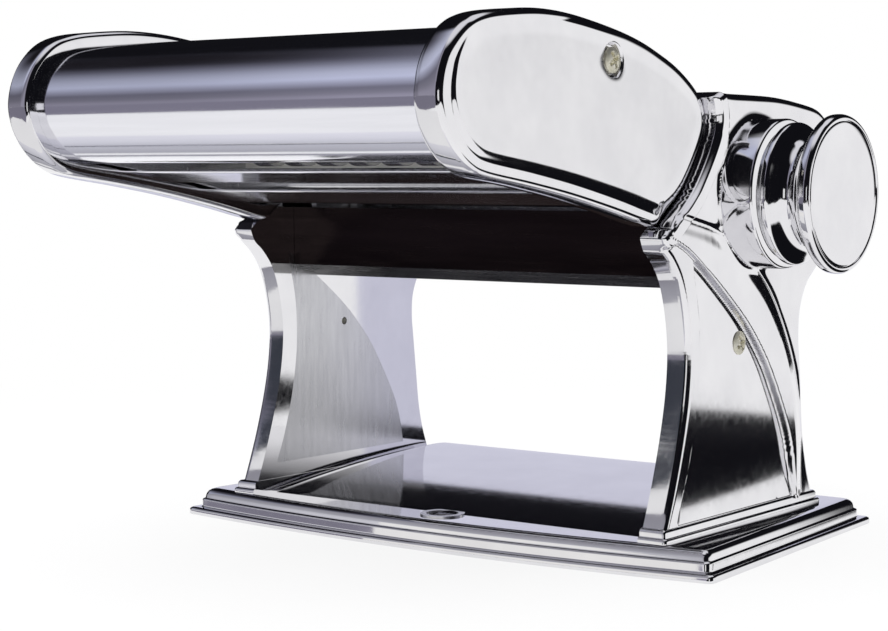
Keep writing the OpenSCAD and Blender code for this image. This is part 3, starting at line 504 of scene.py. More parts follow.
# the outline's points carried in to a smoothed spine: cavity wall, shoulder, rounded rim, flange, a smooth
# rise to the crown (a quarter of an ellipse where it rolls), the crown's dome and the recess round the screw
def capSkin():
    look, n = capLook, capLook["around"]
    keyed = np.arange(n) / n * len(capCurve)
    closed = np.vstack([capCurve, capCurve[:1]])
    outline = np.stack([np.interp(keyed, np.arange(len(closed)), closed[:, i]) for i in (0, 1)], 1)
    spineLine, window = evenly(look["spine"], 80), 9
    nearest = ((outline[:, None] - spineLine[None]) ** 2).sum(-1).argmin(1)
    calm = np.convolve(np.r_[nearest[-window:], nearest, nearest[:window]],
                       np.ones(2 * window + 1) / (2 * window + 1), "valid")
    spine = np.stack([np.interp(calm, np.arange(80), spineLine[:, i]) for i in (0, 1)], 1)
    fade, roll, inset, flat = (roundWeight(look[stops]) for stops in ("fade", "roll", "inset", "flat"))
    every, r, share, start = np.ones(n), look["rim"], look["rimShare"], capX - look["rimUp"]
    levels = [(look["wall"] * every, (capX - look["thick"]) * every), (look["wall"] * every, capIn * every)]
    levels += [(look["lap"] * (1 - np.sin(a)) * every, (capIn + look["shoulder"] * (1 - np.cos(a))) * every)
               for a in np.linspace(0, np.pi / 2, 7)]
    crown = faceHeight(ringsIn(outline, spine, [inset])[0])
    for f in np.linspace(0, 1, 27)[1:]:
        a, b = np.pi / 2 * min(f / share, 1), np.pi / 2 * f
        depth = r * (1 - np.cos(a)) if f <= share else r + (f - share) / (1 - share) * (inset - r)
        rise = ease((depth - flat) / (inset - flat))
        rise = rise + (1 - rise) * fade
        if f <= share:
            stepped = start + (capX - start + fade * (crown - capX)) * np.sin(a)
        else:
            stepped = capX + (crown - capX) * rise
        rolled = start + (crown - start) * np.sin(b)
        levels.append(((1 - roll) * depth + roll * inset * (1 - np.cos(b)),
                       (1 - roll) * stepped + roll * rolled))
    rings = ringsIn(outline, spine, [d for d, _ in levels])
    heights = [x for _, x in levels]
    last, screw = rings[-1], np.array(capScrew, float)
    angle = np.arctan2(*(last - screw).T[::-1])
    outward = np.stack([np.cos(angle), np.sin(angle)], 1)
    for f in np.linspace(0, 1, 24)[1:]:
        ring = last + (screw + look["recess"] * outward - last) * f
        rings.append(ring)
        heights.append(faceHeight(ring) + look["dome"] * ease(wayTo(ring, last)[0] / look["domeWay"]))
    edge = heights[-1]
    for radius, sink in look["recessSteps"]:
        rings.append(screw + radius * outward)
        heights.append(edge - sink)
    verts = np.concatenate([np.column_stack([h, ring]) for h, ring in zip(heights, rings)])
    return verts, gridFaces(len(rings), n, loopCols=True) + [list(range(n))]


# how dull each point of a casting is: 0 on its polished rims and roundings, up to 1 on its faces
def markSatin(piece, amount):
    piece.data.attributes.new("satin", "FLOAT", "POINT").data.foreach_set("value", amount.astype(np.float32))


# the piece's points in millimetres
def pointsOf(piece):
    co = np.empty(len(piece.data.vertices) * 3, np.float32)
    piece.data.vertices.foreach_get("co", co)
    return co.reshape(-1, 3).astype(float) / mm


verts, faces = capSkin()
rightCap = buildPiece("rightEndCap", verts, faces, "cutter", "polished_chrome", ["right_cap"], 40)
leftCap = buildPiece("leftEndCap", mirrored(verts), faces, "cutter", "polished_chrome", ["left_cap"], 40)
narrowUp, wideUp = (-128.467, 136.405), (-87.873, 130.928)
cutAway(leftCap, [barAlong(6.4, -90, -60, narrowUp), barAlong(6.4, -90, -60, wideUp)], 40)
for cap in (rightCap, leftCap):
    place = pointsOf(cap)
    onFace = ease((depthIn(place[:, 1:], capCurve[::2])[0] - 5) / 2.5)
    markSatin(cap, onFace * (np.abs(place[:, 0]) > capX + 0.1))
print("end caps made")


# stand casting: heights over its outline, and the panel's floor, which climbs to the foot below sweepFrom
standLook = dict(rows=264, cols=180, edge=9, edgeShare=84, rim=2.4, seatRim=1.1, lip=1.2, crown=0.35,
                 rib=1.4, valley=0.35, panel=1.3, sweep=0.0055, sweepFrom=28, neck=1.2, hollow=1.9, skirt=2.6,
                 seatGap=0.8)

# the outline's four sides; the front one ends in the seat, which follows the cap with a gap
seatCurve = (capCurve - standLook["seatGap"] * leftOf(capCurve, True))[9 * perKey:14 * perKey + 5]
standLeft = np.vstack([curveThrough(legFront, 6)[::-1], seatCurve[::2]])
standRight = curveThrough(legBack, 6)
standTop = np.vstack([seatCurve[-1:], curveThrough(headTop, 6)[::-1][1:]])
standBottom = np.array([standLeft[0], standRight[0]])
standSides = np.vstack([standRight, standTop[::-1][1:], standLeft[::-1][1:]])
crownCurve = curveThrough(crownKeys, 4, True)
ribOuterCurve = curveThrough([(-62, 104.5), (-50, 102.4)] + ribOuter + [(32.6, 4)], 5)
ribInnerCurve = curveThrough([(-62, 98), (-52, 96.4)] + ribInner[::-1] + [(27.6, 4)], 5)
panelCurve = np.vstack([curveThrough(panelFront, 6)[::-1], curveThrough(panelBack, 6)[::-1]])
panelFace = np.vstack([curveThrough([(-42.8, 12.9)] + panelFront, 6)[::-1],
                       curveThrough(panelBack + [(27.2, 12.9)], 6)[::-1]])


# the patch between four sides: straight blends of left-right and bottom-top, less the blend of the corners
def patchBetween(left, right, bottom, top, u, v):
    u, v = u[None, :, None], v[:, None, None]
    cross = (1 - u) * left[:, None] + u * right[:, None]
    up = (1 - v) * bottom[None] + v * top[None]
    corners = ((1 - u) * (1 - v) * left[0] + u * (1 - v) * right[0]
               + (1 - u) * v * left[-1] + u * v * right[-1])
    return cross + up - corners


# how fast a shape climbs at a way, from its heights a little before and after it
def steepness(shape, way, step=0.02):
    return (shape(way + step) - shape(way - step)) / (2 * step)


# a height that depends on one way only, with its slope over the outline: steepness times the way's own slope
def heightFrom(shape, way, slope):
    return shape(way), steepness(shape, way)[..., None] * slope


# the higher of two heights at each point, with its slope
def larger(one, two):
    pick = one[0] > two[0]
    return np.where(pick, one[0], two[0]), np.where(pick[..., None], one[1], two[1])


# the lower of the two
def smaller(one, two):
    pick = one[0] < two[0]
    return np.where(pick, one[0], two[0]), np.where(pick[..., None], one[1], two[1])


# the outer face over (y, z) with its slope: the rim a quarter round, the highest of seat bead, crown and
# rib, a faint valley beside the rib, less the panel's eased step, whose floor climbs by the square of the
# way below sweepFrom, plus a fillet that dies away from the boss
def standFace(p, boss):
    look = standLook
    way, away, _ = wayTo(p, standSides, False)
    seat, awaySeat, _ = wayTo(p, seatCurve, False)
    rounded = lambda r: (lambda d: np.sqrt(np.clip(r**2 - (r - np.clip(d, 0.004, r)) ** 2, 1e-6, None)) - r)
    atSeat = seat < way + 0.01
    wide = heightFrom(rounded(look["rim"]), way, away)
    tight = heightFrom(rounded(look["seatRim"]), seat, awaySeat)
    rimFall = np.where(atSeat, tight[0], wide[0]), np.where(atSeat[..., None], tight[1], wide[1])
    lip = heightFrom(lambda d: look["lip"] * ease((d - 0.2) / 1.2) * ease((6.0 - d) / 1.5), seat, awaySeat)
    crown = heightFrom(lambda d: look["crown"] * ease((d + 3.5) / 7), *depthIn(p, crownCurve))
    outer, inner = depthBy(p, ribOuterCurve), depthBy(p, ribInnerCurve)
    rib = smaller(heightFrom(lambda d: look["rib"] * ease((-d + 0.4) / 7), *outer),
                  heightFrom(lambda d: look["rib"] * ease((d + 0.7) / 1.1), *inner))
    valley = heightFrom(lambda d: -look["valley"] * np.exp(-((d - 0.7) / 0.9) ** 2), *outer)
    share, shareSlope = heightFrom(lambda d: ease((d + 0.9) / 1.3), *depthIn(p, panelFace))
    climb = lambda z: look["sweep"] * np.maximum(look["sweepFrom"] - z, 0) ** 2
    deep, tilt = look["panel"] - climb(p[..., 1]), steepness(climb, p[..., 1])
    r = np.maximum(np.hypot(p[..., 0] - boss[0], p[..., 1] - boss[1]), 1e-3)
    neck = heightFrom(lambda d: look["neck"] * np.exp(-np.maximum(d - boss[2], 0) / look["neck"]), r,
                      (p - np.array(boss[:2])) / r[..., None])
    top = larger(larger(lip, crown), rib)
    height = rimX + rimFall[0] + top[0] + valley[0] - share * deep + neck[0]
    slope = rimFall[1] + top[1] + valley[1] - shareSlope * deep[..., None] + neck[1]
    slope[..., 1] += share * tilt
    return height, slope


# the casting: the face over the patch of its outline, walls straight back, the panel's hollow from behind
def sideStand(name, side, boss, replaced):
    look, fine = standLook, 4000
    edge = look["rim"] * (1 - np.cos(np.linspace(0, np.pi / 2, look["edge"]))) / look["edgeShare"]
    u = np.concatenate([edge, np.linspace(edge[-1], 1 - edge[-1], look["cols"])[1:-1], 1 - edge[::-1]])
    v = np.concatenate([np.linspace(0, 1 - edge[-1], look["rows"])[:-1], 1 - edge[::-1]])
    pick = lambda line, t: evenly(line, fine + 1)[np.round(t * fine).astype(int)]
    p = patchBetween(pick(standLeft, v), pick(standRight, v), pick(standBottom, u), pick(standTop, u), u, v)
    rows, cols = p.shape[:2]
    front = np.concatenate([standFace(p, boss)[0][..., None], p], -1).reshape(-1, 3)
    ring = gridBorder(rows, cols)
    back = front[ring] * [0, 1, 1] + [halfWidth, 0, 0]
    # the flat back is one plane with the hollow's outline left out of it
    inner = evenly(panelCurve, 200, True)
    hollow = np.column_stack([np.full(len(inner), halfWidth), inner])
    start = len(front) + len(ring)
    flat = [[(q[1], q[2], 0) for q in back], [(q[1], q[2], 0) for q in hollow]]
    faces = gridFaces(rows, cols) + gridFaces(2, len(ring), loopCols=True, start=len(front))
    faces += [[start + i for i in triangle] for triangle in tessellate_polygon(flat)]
    wall = start + len(back)
    faces += gridFaces(2, len(hollow), loopCols=True, start=wall)
    faces.append(list(range(wall + len(hollow), wall + 2 * len(hollow))))
    verts = np.concatenate([front, front[ring], back, hollow, hollow + [look["hollow"], 0, 0]])
    verts = verts if side > 0 else mirrored(verts)
    return buildPiece(name, verts, faces, "machine", "polished_chrome", replaced)


# the cast face gets the normals of its own formula, so that its reflections run clean
def trueNormals(piece, side, boss):
    mesh, co = piece.data, pointsOf(piece)
    slope = standFace(co[:, 1:], boss)[1]
    normal = np.column_stack([np.full(len(co), float(side)), -slope])
    normal /= np.linalg.norm(normal, axis=1)[:, None]
    corner = np.empty(len(mesh.loops) * 3, np.float32)
    mesh.corner_normals.foreach_get("vector", corner)
    corner = corner.reshape(-1, 3)
    owner, sizes = np.empty(len(mesh.loops), np.int32), np.empty(len(mesh.polygons), np.int32)
    mesh.loops.foreach_get("vertex_index", owner)
    mesh.polygons.foreach_get("loop_total", sizes)
    facing, centre = np.empty((2, len(mesh.polygons) * 3), np.float32)
    mesh.polygons.foreach_get("normal", facing)
    mesh.polygons.foreach_get("center", centre)
    outer = (facing[::3] * side > 0.02) & (centre[::3] * side / mm > halfWidth + standLook["skirt"])
    chosen = np.repeat(outer, sizes)
    corner[chosen] = normal[owner[chosen]]
    mesh.normals_split_custom_set(corner.tolist())


# bosses: the knob's has a groove for the index ring in its front, the crank's is plain
bossLook = dict(bore=8.02, ringIn=10.6, ringOut=19, radius=22.4, root=81.5, floor=90.2, front=94.2)
crankLook = dict(bore=5.6, radius=11.4, root=81.5, front=85.6)
rightBoss, leftBoss = (0, knobZ, bossLook["radius"]), (rearY, rollerZ, crankLook["radius"])
rightStand = sideStand("rightStandCasting", 1, rightBoss, ["right_stand"])
cutAway(rightStand, [barAlong(bossLook["bore"], 70, 100, rightBoss)])
trueNormals(rightStand, 1, rightBoss)
leftStand = sideStand("leftStandCasting", -1, leftBoss, ["left_stand"])
cutAway(leftStand, [barAlong(crankLook["bore"], -100, -70, leftBoss)])
trueNormals(leftStand, -1, leftBoss)
for stand in (rightStand, leftStand):
    place = pointsOf(stand)
    inPanel = ease(depthIn(place[:, 1:], panelCurve)[0] / 1.5)
    markSatin(stand, (0.1 - 0.04 * inPanel) * (np.abs(place[:, 0]) > halfWidth + standLook["skirt"]))

# each boss is a ring with its own bore, closed on itself
look = bossLook
root, floor, front = look["root"], look["floor"], look["front"]
profile = [(look["bore"], root), (look["radius"], root), (look["radius"], front), (look["ringOut"], front),
           (look["ringOut"], floor), (look["ringIn"], floor), (look["ringIn"], front), (look["bore"], front)]
knobBoss = buildPiece("knobBoss", *turnedSkin(softened(profile, 0.9, 6, True), rightBoss, 160, True),
                      "machine", "polished_chrome", (), 30)
look = crankLook
root, front = look["root"], look["front"]
profile = [(look["bore"], root), (look["radius"], root), (look["radius"], front), (look["bore"], front)]
verts, faces = turnedSkin(softened(profile, 0.7, 5, True), leftBoss, 96, True)
buildPiece("crankBoss", mirrored(verts), faces, "machine", "polished_chrome", (), 30)

# stepped foot round each leg: (inset, height) of each level
footLook = dict(frontY=-52.6, backY=42.8, proud=1.7, sunk=0.2, corner=1.6,
                levels=[(0, 8.5), (0, 9.4), (0.25, 9.85), (0.5, 10), (0.9, 10.1), (1, 10.4), (1, 11.5),
                        (1.25, 12.05), (1.7, 12.4), (2.3, 12.5)])


# the foot's plan moved in: straight sides with a quarter round at the two outer corners
def footRing(inset):
    look = footLook
    x0, x1 = halfWidth - look["sunk"], rimX + look["proud"] - inset
    y0, y1, r = look["frontY"] + inset, look["backY"] - inset, look["corner"] - 0.5 * inset
    a = np.linspace(0, np.pi / 2, 7)
    low = np.column_stack([x1 - r + r * np.sin(a), y0 + r - r * np.cos(a)])
    high = np.column_stack([x1 - r + r * np.cos(a), y1 - r + r * np.sin(a)])
    return np.vstack([[(x0, y0)], low, high, [(x0, y1)]])


verts, faces = stackedSkin(footRing, footLook["levels"])
buildPiece("rightStandFoot", verts, faces, "machine", "polished_chrome", (), 40)
buildPiece("leftStandFoot", mirrored(verts), faces, "machine", "polished_chrome", (), 40)
print("side stands made")


baseLook = dict(front=101.7, back=94, frontY=-56.3, backY=59.5, bow=7.4, corner=2.0, clamp=7, clampY=-47.4,
                levels=[(5, 7.5), (5, 0), (0.3, 0), (0, 0.3), (0, 1.5), (0.2, 2), (0.7, 2.35), (1.4, 2.4),
                        (2.6, 2.4), (2.9, 2.5), (3, 2.8), (3, 4.6), (3.1, 4.9), (3.4, 5.15), (3.7, 5.3),
                        (3.8, 5.6), (3.9, 6.3), (4.15, 7), (4.6, 7.7), (5.3, 8.2), (6.1, 8.45), (7, 8.5)])


# the plan moved in by a step: a bowed front, sides that draw in to the rear, small corners
def basePlan(inset):
    look = baseLook
    wf, wb = look["front"] - inset, look["back"] - inset
    yf, yb, c = look["frontY"] + inset, look["backY"] - inset, look["corner"]
    t = np.linspace(-1, 1, 61)
    bowed = np.column_stack([(wf - c) * t, yf - look["bow"] * (1 - t * t)])
    a = np.linspace(0, 1, 7)[1:, None]
    bend = lambda p, q, s: (1 - a) ** 2 * np.array(p) + 2 * a * (1 - a) * np.array(q) + a**2 * np.array(s)
    right = bend(bowed[-1], (wf + 0.1, yf + 0.1), (wf - 0.1, yf + 1.6 * c))
    back = bend((wb, yb - c), (wb, yb), (wb - c, yb))
    half = np.vstack([right, [(wb, yb - c)], back])
    other = half[::-1] * [-1, 1]
    return np.vstack([bowed, half, evenly(np.array([(wb - c, yb), (c - wb, yb)]), 30)[1:-1], other[:-1]])


# a round bar along Z
def postUp(radius, lo, hi, at, sides=64):
    verts, faces = barAlong(radius, lo, hi, (0, 0), sides)
    return np.column_stack([at[0] + verts[:, 1], at[1] + verts[:, 2], verts[:, 0]]), faces


verts, faces = stackedSkin(basePlan, baseLook["levels"])
base = buildPiece("basePlate", verts, faces, "machine", "polished_chrome", ["base_plate"], 40)
cutAway(base, [postUp(baseLook["clamp"], -1, 20, (0, baseLook["clampY"]))], 40)

# raised pan between the stands: the hump's line carried along X, rolled down at both ends by a sine
panLook = dict(half=72.6, rolled=1.2, foot=7.6, under=7.55, endTurn=0.35,
               hump=[(-48, 7.6), (-44.4, 8.6), (-40, 9.3), (-24, 11.3), (-4, 13.2), (18, 14.7), (36, 15.4),
                     (46, 15.1), (50.6, 13.6), (53, 10.6), (53.5, 7.6)])
hump = evenly(curveThrough(panLook["hump"], 10), 150)
reach = panLook["half"] - panLook["rolled"] * (1 - np.sin(np.linspace(0, np.pi / 2, 8)))
stations = np.concatenate([-reach[::-1], np.linspace(-reach[0], reach[0], 60)[1:-1], reach])
factor = np.interp(np.abs(stations), reach, np.sin(np.linspace(np.pi / 2, panLook["endTurn"], 8)))
x, along = np.meshgrid(stations, np.arange(len(hump)), indexing="ij")
z = panLook["foot"] + (hump[along, 1] - panLook["foot"]) * factor[:, None]
top = np.stack([x, hump[along, 0], z], -1).reshape(-1, 3)
under = top.copy()
under[:, 2] = panLook["under"]
ring = gridBorder(*x.shape)
verts = np.concatenate([top, top[ring], under[ring]])
faces = gridFaces(*x.shape) + gridFaces(2, len(ring), loopCols=True, start=len(top))
faces.append(list(range(len(top) + len(ring), len(verts))))
buildPiece("basePan", verts, faces, "machine", "polished_chrome", (), 50)
print("base made")


# knob: outer radius, where its collar starts and where its face ends along X, bore and the index pins' holes
knobLook = dict(radius=23.4, collar=95.6, face=113, bore=4.06, pin=1.22, pinWay=14.9)
r, c, f = knobLook["radius"], knobLook["collar"], knobLook["face"]
axis = (0, knobZ)
foot = softened([(0, c), (r - 3.2, c), (r - 2.2, c + 0.5), (r - 2.2, c + 2.2), (r - 2.9, c + 2.7)], 0.5)
waist = curveThrough([(r - 2.9, c + 2.7), (r - 4.6, c + 3.6), (r - 6.6, c + 4.9), (r - 7.6, c + 6.9),
                      (r - 6.6, c + 9.3), (r - 3.6, c + 11.7), (r - 1.1, c + 13.1)], 7)
neck = softened([(r - 0.9, c + 13.3), (r - 0.8, c + 13.6), (r - 2.6, c + 13.6), (r - 2.6, f - 1.4),
                 (0, f - 1.4)], 0.15, 3)
knobBody = buildPiece("knobBody", *turnedSkin(np.vstack([foot, waist[1:], neck]), axis, 160), "knob",
                      "polished_chrome", ["knob_body"], 30)
pinHoles = [barAlong(knobLook["pin"], c - 2, c + 3, (0, knobZ + side * knobLook["pinWay"]), 24)
            for side in (-1, 1)]
cutAway(knobBody, [barAlong(knobLook["bore"], c - 2, f - 4.6, axis, 48)] + pinHoles, 30)
# the cap on its face: a wall, a rolled rim with a groove inside it, and a dome that falls as a cosine
wall = [(0, f - 1.38), (r - 2.58, f - 1.38), (r - 2.58, c + 13.62), (r - 0.9, c + 13.62)]
rim = softened([(r - 0.9, c + 13.62), (r - 0.12, c + 13.9), (r, c + 14.6), (r, f - 1.5), (r - 0.4, f - 0.5),
                (r - 1.2, f - 0.1), (r - 1.75, f - 0.2), (r - 2, f - 0.6), (r - 2.3, f - 0.3),
                (r - 2.9, f - 0.15)], 0.35)
dome = [(q, f - 0.15 + 0.1 * math.cos(q / (r - 2.9) * math.pi / 2)) for q in np.linspace(r - 2.9, 0, 14)[1:]]
knobFace = buildPiece("knobFace", *turnedSkin(np.vstack([wall, rim[1:], dome]), axis, 160), "knob",
                      "polished_chrome", ["knob_cap"], 30)
# the knob would put a dark blot on the brushed face of the cap beside it
for piece in (knobBoss, knobBody, knobFace, nodes["adjuster_shaft"], nodes["knob_bearing"],
              nodes["index_ring"], nodes["index_pins"]):
    piece.visible_glossy = False
print("knob made")


# folded sheets: the covers of the cutter unit follow the cap's curve inside it, each from one place round it
# to another, in thirds of a key
coverLook = dict(sheet=0.8, inside=4, gap=0.02, bodyGap=0.1,
                 covers=(("frontCover", 65, 12, "front_cover"), ("middleCover", 57, 62, "middle_cover"),
                         ("rearLid", 40, 55, "rear_lid")),
                 under=((15, 18), (20, 23)),
                 hood=[(-13, 137.2), (-17.4, 136.8), (-20.2, 134.6), (-21, 129.2)],
                 rear=[(34.6, 80.2), (39.6, 81), (45.2, 85.4), (50.4, 94), (52.6, 104), (53.2, 114),
                       (51.6, 123.4), (47.6, 129.8), (42, 133.4), (36, 135)])
sheet = coverLook["sheet"]
coverCurve = capCurve + coverLook["inside"] * leftOf(capCurve, True)
coverHalf, bodyHalf = capIn - coverLook["gap"], halfWidth - coverLook["bodyGap"]


# the stretch of the covers' curve from one place to another, over its end if need be
def coverStretch(a, b):
    first, last = int(a * perKey / 3), int(b * perKey / 3)
    last += len(coverCurve) if last < first else 0
    return coverCurve[np.arange(first, last + 1) % len(coverCurve)]


for name, a, b, node in coverLook["covers"]:
    sheetPiece(name, coverStretch(a, b), sheet, coverHalf, "cutter", "satin_cover", [node])
parts = [carriedAlong(sheetLoop(coverStretch(a, b), sheet), np.linspace(-coverHalf, coverHalf, 13))
         for a, b in coverLook["under"]]
shift = len(parts[0][0])
faces = parts[0][1] + [[i + shift for i in face] for face in parts[1][1]]
verts = np.concatenate([parts[0][0], parts[1][0]])
buildPiece("underCovers", verts, faces, "cutter", "satin_cover", ["under_covers"])
hood, rear = curveThrough(coverLook["hood"], 10)[::-1], curveThrough(coverLook["rear"], 12)
sheetPiece("frontHood", hood, sheet, bodyHalf, "machine", "polished_chrome", ["front_hood"])
sheetPiece("rearCover", rear, sheet, bodyHalf, "machine", "satin_cover", ["rear_cover"])
print("covers made")


# rollers: half lengths along X, radii, and the place of each cutter roller with its strip's width
rollerLook = dict(half=62, radius=11.5, journal=5, collar=6.6, left=74.4, right=66.2)
cutterLook = dict(half=63.4, inner=64, shaft=4.2, depth=2.6, gap=0.08, edge=0.15, right=67.4, lean=20.4,
                  socket=3, slot=(0.9, 6))


# (radius, x) of the smooth roller: journals, a collar at each end, and the barrel with its edges taken off
def rollerProfile(end):
    look = rollerLook
    half, radius, journal, collar = look["half"], look["radius"], look["journal"], look["collar"]
    return [(0, -end), (journal - 0.6, -end), (journal, 0.6 - end), (journal, -half - 0.5),
            (collar, -half - 0.5), (collar, -half), (radius - 0.5, -half), (radius, 0.5 - half),
            (radius, half - 0.5), (radius - 0.5, half), (collar, half), (collar, half + 0.5),
            (journal, half + 0.5), (journal, look["right"]), (0, look["right"])]


buildPiece("frontRoller", *turnedSkin(rollerProfile(rollerLook["left"]), (0, rollerZ), 96), "front_roller",
           "ground_roller", ["front_roller"], 30)


# discs on a core: the profile steps out and in along the shaft, one strip of disc and one of gap
def cutterProfile(radius, strip, shifted, left):
    look, core = cutterLook, radius - cutterLook["depth"]
    gap, edge, shaft, inner, right = (look[key] for key in ("gap", "edge", "shaft", "inner", "right"))
    n = int(look["half"] / (2 * strip) - 0.5)
    first = -(2 * n + 1) * strip + (strip if shifted else 0)
    x = first + strip * 2 * np.arange(2 * n + 1) + strip / 2
    lo, hi = x - strip / 2 + gap, x + strip / 2 - gap
    steps = ((core, lo), (radius - edge, lo), (radius, lo + edge), (radius, hi - edge), (radius - edge, hi),
             (core, hi))
    disc = np.stack([np.stack([0 * x + r, at], 1) for r, at in steps], 1).reshape(-1, 2)
    return np.vstack([[(0, -left), (shaft, -left), (shaft, 0.3 - inner), (core, 0.3 - inner)], disc,
                      [(core, inner - 0.3), (shaft, inner - 0.3), (shaft, right), (0, right)]])


angle = math.radians(cutterLook["lean"])
lean = np.array([math.cos(angle), -math.sin(angle)])
narrowLow = np.array([-122, 134]) + 6.9 * lean
wideLow = np.array([-80, 128]) + 8.4 * lean
cutterRollers = (("narrowUpperRoller", "narrow_upper", narrowUp, 7.5, 1.8, False, 76.6),
                 ("narrowLowerRoller", "narrow_lower", narrowLow, 7.5, 1.8, True, 74.3),
                 ("wideUpperRoller", "wide_upper", wideUp, 9, 6.4, False, 76.6),
                 ("wideLowerRoller", "wide_lower", wideLow, 9, 6.4, True, 74.3))
boxFaces = [[0, 1, 2, 3], [4, 5, 6, 7], [0, 1, 5, 4], [1, 2, 6, 5], [2, 3, 7, 6], [3, 0, 4, 7]]
for name, body, at, radius, strip, shifted, left in cutterRollers:
    roller = buildPiece(name, *turnedSkin(cutterProfile(radius, strip, shifted, left), at, 72), body,
                        "ground_roller", [body + "_roller"], 30)
    if not shifted:
        # the crank's socket: a bore, and a slot for the pin across it
        y, z = cutterLook["slot"]
        slot = np.array([(x, at[0] + a * y, at[1] + b * z) for x in (-left - 1, -left + 2.4)
                         for a, b in ((-1, -1), (1, -1), (1, 1), (-1, 1))])
        cutAway(roller, [barAlong(cutterLook["socket"], -left - 1, -left + 8, at, 48), (slot, boxFaces)], 30)
print("rollers made")


screwLook = dict(head=3.6, height=1.9, fall=0.55, sides=120, rings=44, cross=2.3, arm=0.62, deep=1.4,
                 tip=dict(capScrews=80.35, panelScrews=82.5))


# a domed head on a round grid, with a tapered cross pressed in: deepest along the middle lines of its two
# arms; then the head's edge and the shank
def crossHead(tip, at, shank, length):
    look = screwLook
    a = 2 * np.pi * np.arange(look["sides"]) / look["sides"]
    r = np.linspace(0, look["head"], look["rings"])[:, None]
    cosine, sine = np.cos(a + 0.5), np.sin(a + 0.5)
    arm = np.minimum(np.abs(r * np.cos(a)), np.abs(r * np.sin(a)))
    dome = look["height"] * (1 - look["fall"] * (r / look["head"]) ** 2)
    inside = ease((look["arm"] - arm) / 0.28 + 0.5) * ease((look["cross"] - r) / 0.5 + 0.5)
    x = tip - look["height"] + dome - look["deep"] * inside * ease(1.35 - r / look["cross"] * 0.6)
    top = np.stack([x, at[0] + r * cosine, at[1] + r * sine], -1).reshape(-1, 3)
    seat = tip - look["height"]
    edge = np.array([(look["head"], seat + 0.42), (look["head"] - 0.15, seat), (shank, seat),
                     (shank, tip - length), (0, tip - length)])
    low = np.stack([edge[:, 1:] + 0 * a, at[0] + edge[:, :1] * cosine, at[1] + edge[:, :1] * sine],
                   -1).reshape(-1, 3)
    return np.concatenate([top, low]), gridFaces(look["rings"] + len(edge), look["sides"], loopCols=True)


for name, at, shank, length, body, node in (("capScrews", capScrew, 1.4, 16, "cutter", "cap_screws"),
                                            ("panelScrews", panelScrew, 1.25, 6, "machine", "panel_screws")):
    verts, faces = crossHead(screwLook["tip"][name], at, shank, length)
    both = np.concatenate([verts, mirrored(verts)])
    faces = faces + [[i + len(verts) for i in face] for face in faces]
    buildPiece(name, both, faces, body, "yellow_screw", [node], 50)
print("screws made")


# a material with nothing in it yet, put on the mesh
def bareMaterial(name, mesh):
    material = bpy.data.materials.new(name)
    material.use_nodes = True
    material.node_tree.nodes.clear()
    mesh.materials.append(material)
    return material.node_tree


# a card that only mirrors see; a soft one thins out to nothing between two ways from its centre
def stageCard(name, verts, faces, colour, strength=1, soft=None):
    mesh = bpy.data.meshes.new(name)
    mesh.from_pydata([tuple(v) for v in verts], [], faces)
    card = placed(name, mesh)
    tree = bareMaterial(name, mesh)
    shown = addNode(tree, "Emission", {"Color": colour, "Strength": strength}).outputs[0]
    if soft:
        centre, full, gone = soft
        way = addNode(tree, "VectorMath", {0: placeOf(tree), 1: centre}, "DISTANCE").outputs["Value"]
        clear = addNode(tree, "BsdfTransparent").outputs[0]
        thin = between(tree, way, full, gone)
        shown = addNode(tree, "MixShader", {"Fac": thin, 1: shown, 2: clear}).outputs[0]
    addNode(tree, "OutputMaterial", {"Surface": shown})
    card.visible_camera = card.visible_diffuse = card.visible_shadow = False
    return card


# a card that lies at a height, from one (x, y) corner to the other
def lyingCard(name, low, high, z, colour, strength=1, soft=None):
    corners = [(low[0], low[1], z), (high[0], low[1], z), (high[0], high[1], z), (low[0], high[1], z)]
    return stageCard(name, corners, [[0, 1, 2, 3]], colour, strength, soft)


# a card that stands across Y, from one (x, z) corner to the other
def standingCard(name, low, high, y, colour, strength=1):
    corners = [(low[0], y, low[1]), (high[0], y, low[1]), (high[0], y, high[1]), (low[0], y, high[1])]
    return stageCard(name, corners, [[0, 1, 2, 3]], colour, strength)


# part of a cylinder round the object that carries a tone, from one bearing to another
def tonedWall(name, radius, fromAngle, toAngle, high, colour, strength=1, count=33):
    a = np.radians(np.linspace(fromAngle, toAngle, count))
    ring = np.column_stack([radius * np.cos(a), radius * np.sin(a)])
    verts = np.concatenate([np.column_stack([ring, np.full(count, z)]) for z in (0, high)])
    return stageCard(name, verts, gridFaces(2, count), colour, strength)


# a ramp through (place, colour) stops in rising order
def toneLadder(tree, value, stops):
    ladder = addNode(tree, "ValToRGB", {"Fac": value})
    for i, (at, colour) in enumerate(stops):
        stop = ladder.color_ramp.elements[i] if i < 2 else ladder.color_ramp.elements.new(at)
        stop.position = at
        stop.color = (*colour, 1)
    return ladder.outputs["Color"]


# rays that show the backdrop itself: from the camera, in a mirror and through glass
def seenRays(tree):
    path = tree.nodes.new("ShaderNodeLightPath")
    mirror = mathOf(tree, "MAXIMUM", path.outputs["Is Glossy Ray"], path.outputs["Is Transmission Ray"])
    return mathOf(tree, "MAXIMUM", path.outputs["Is Camera Ray"], mirror)


stageLook = dict(floorSize=8.0, floorTone=(0.86, 0.86, 0.86), shadowShare=0.16, shadowWay=(0.12, 0.5),
                 sky=(0.55, 0.55, 0.56), roomSize=7.0)
black, violet, white = (0.006, 0.006, 0.008), (0.21, 0.2, 0.255), (1, 1, 1)

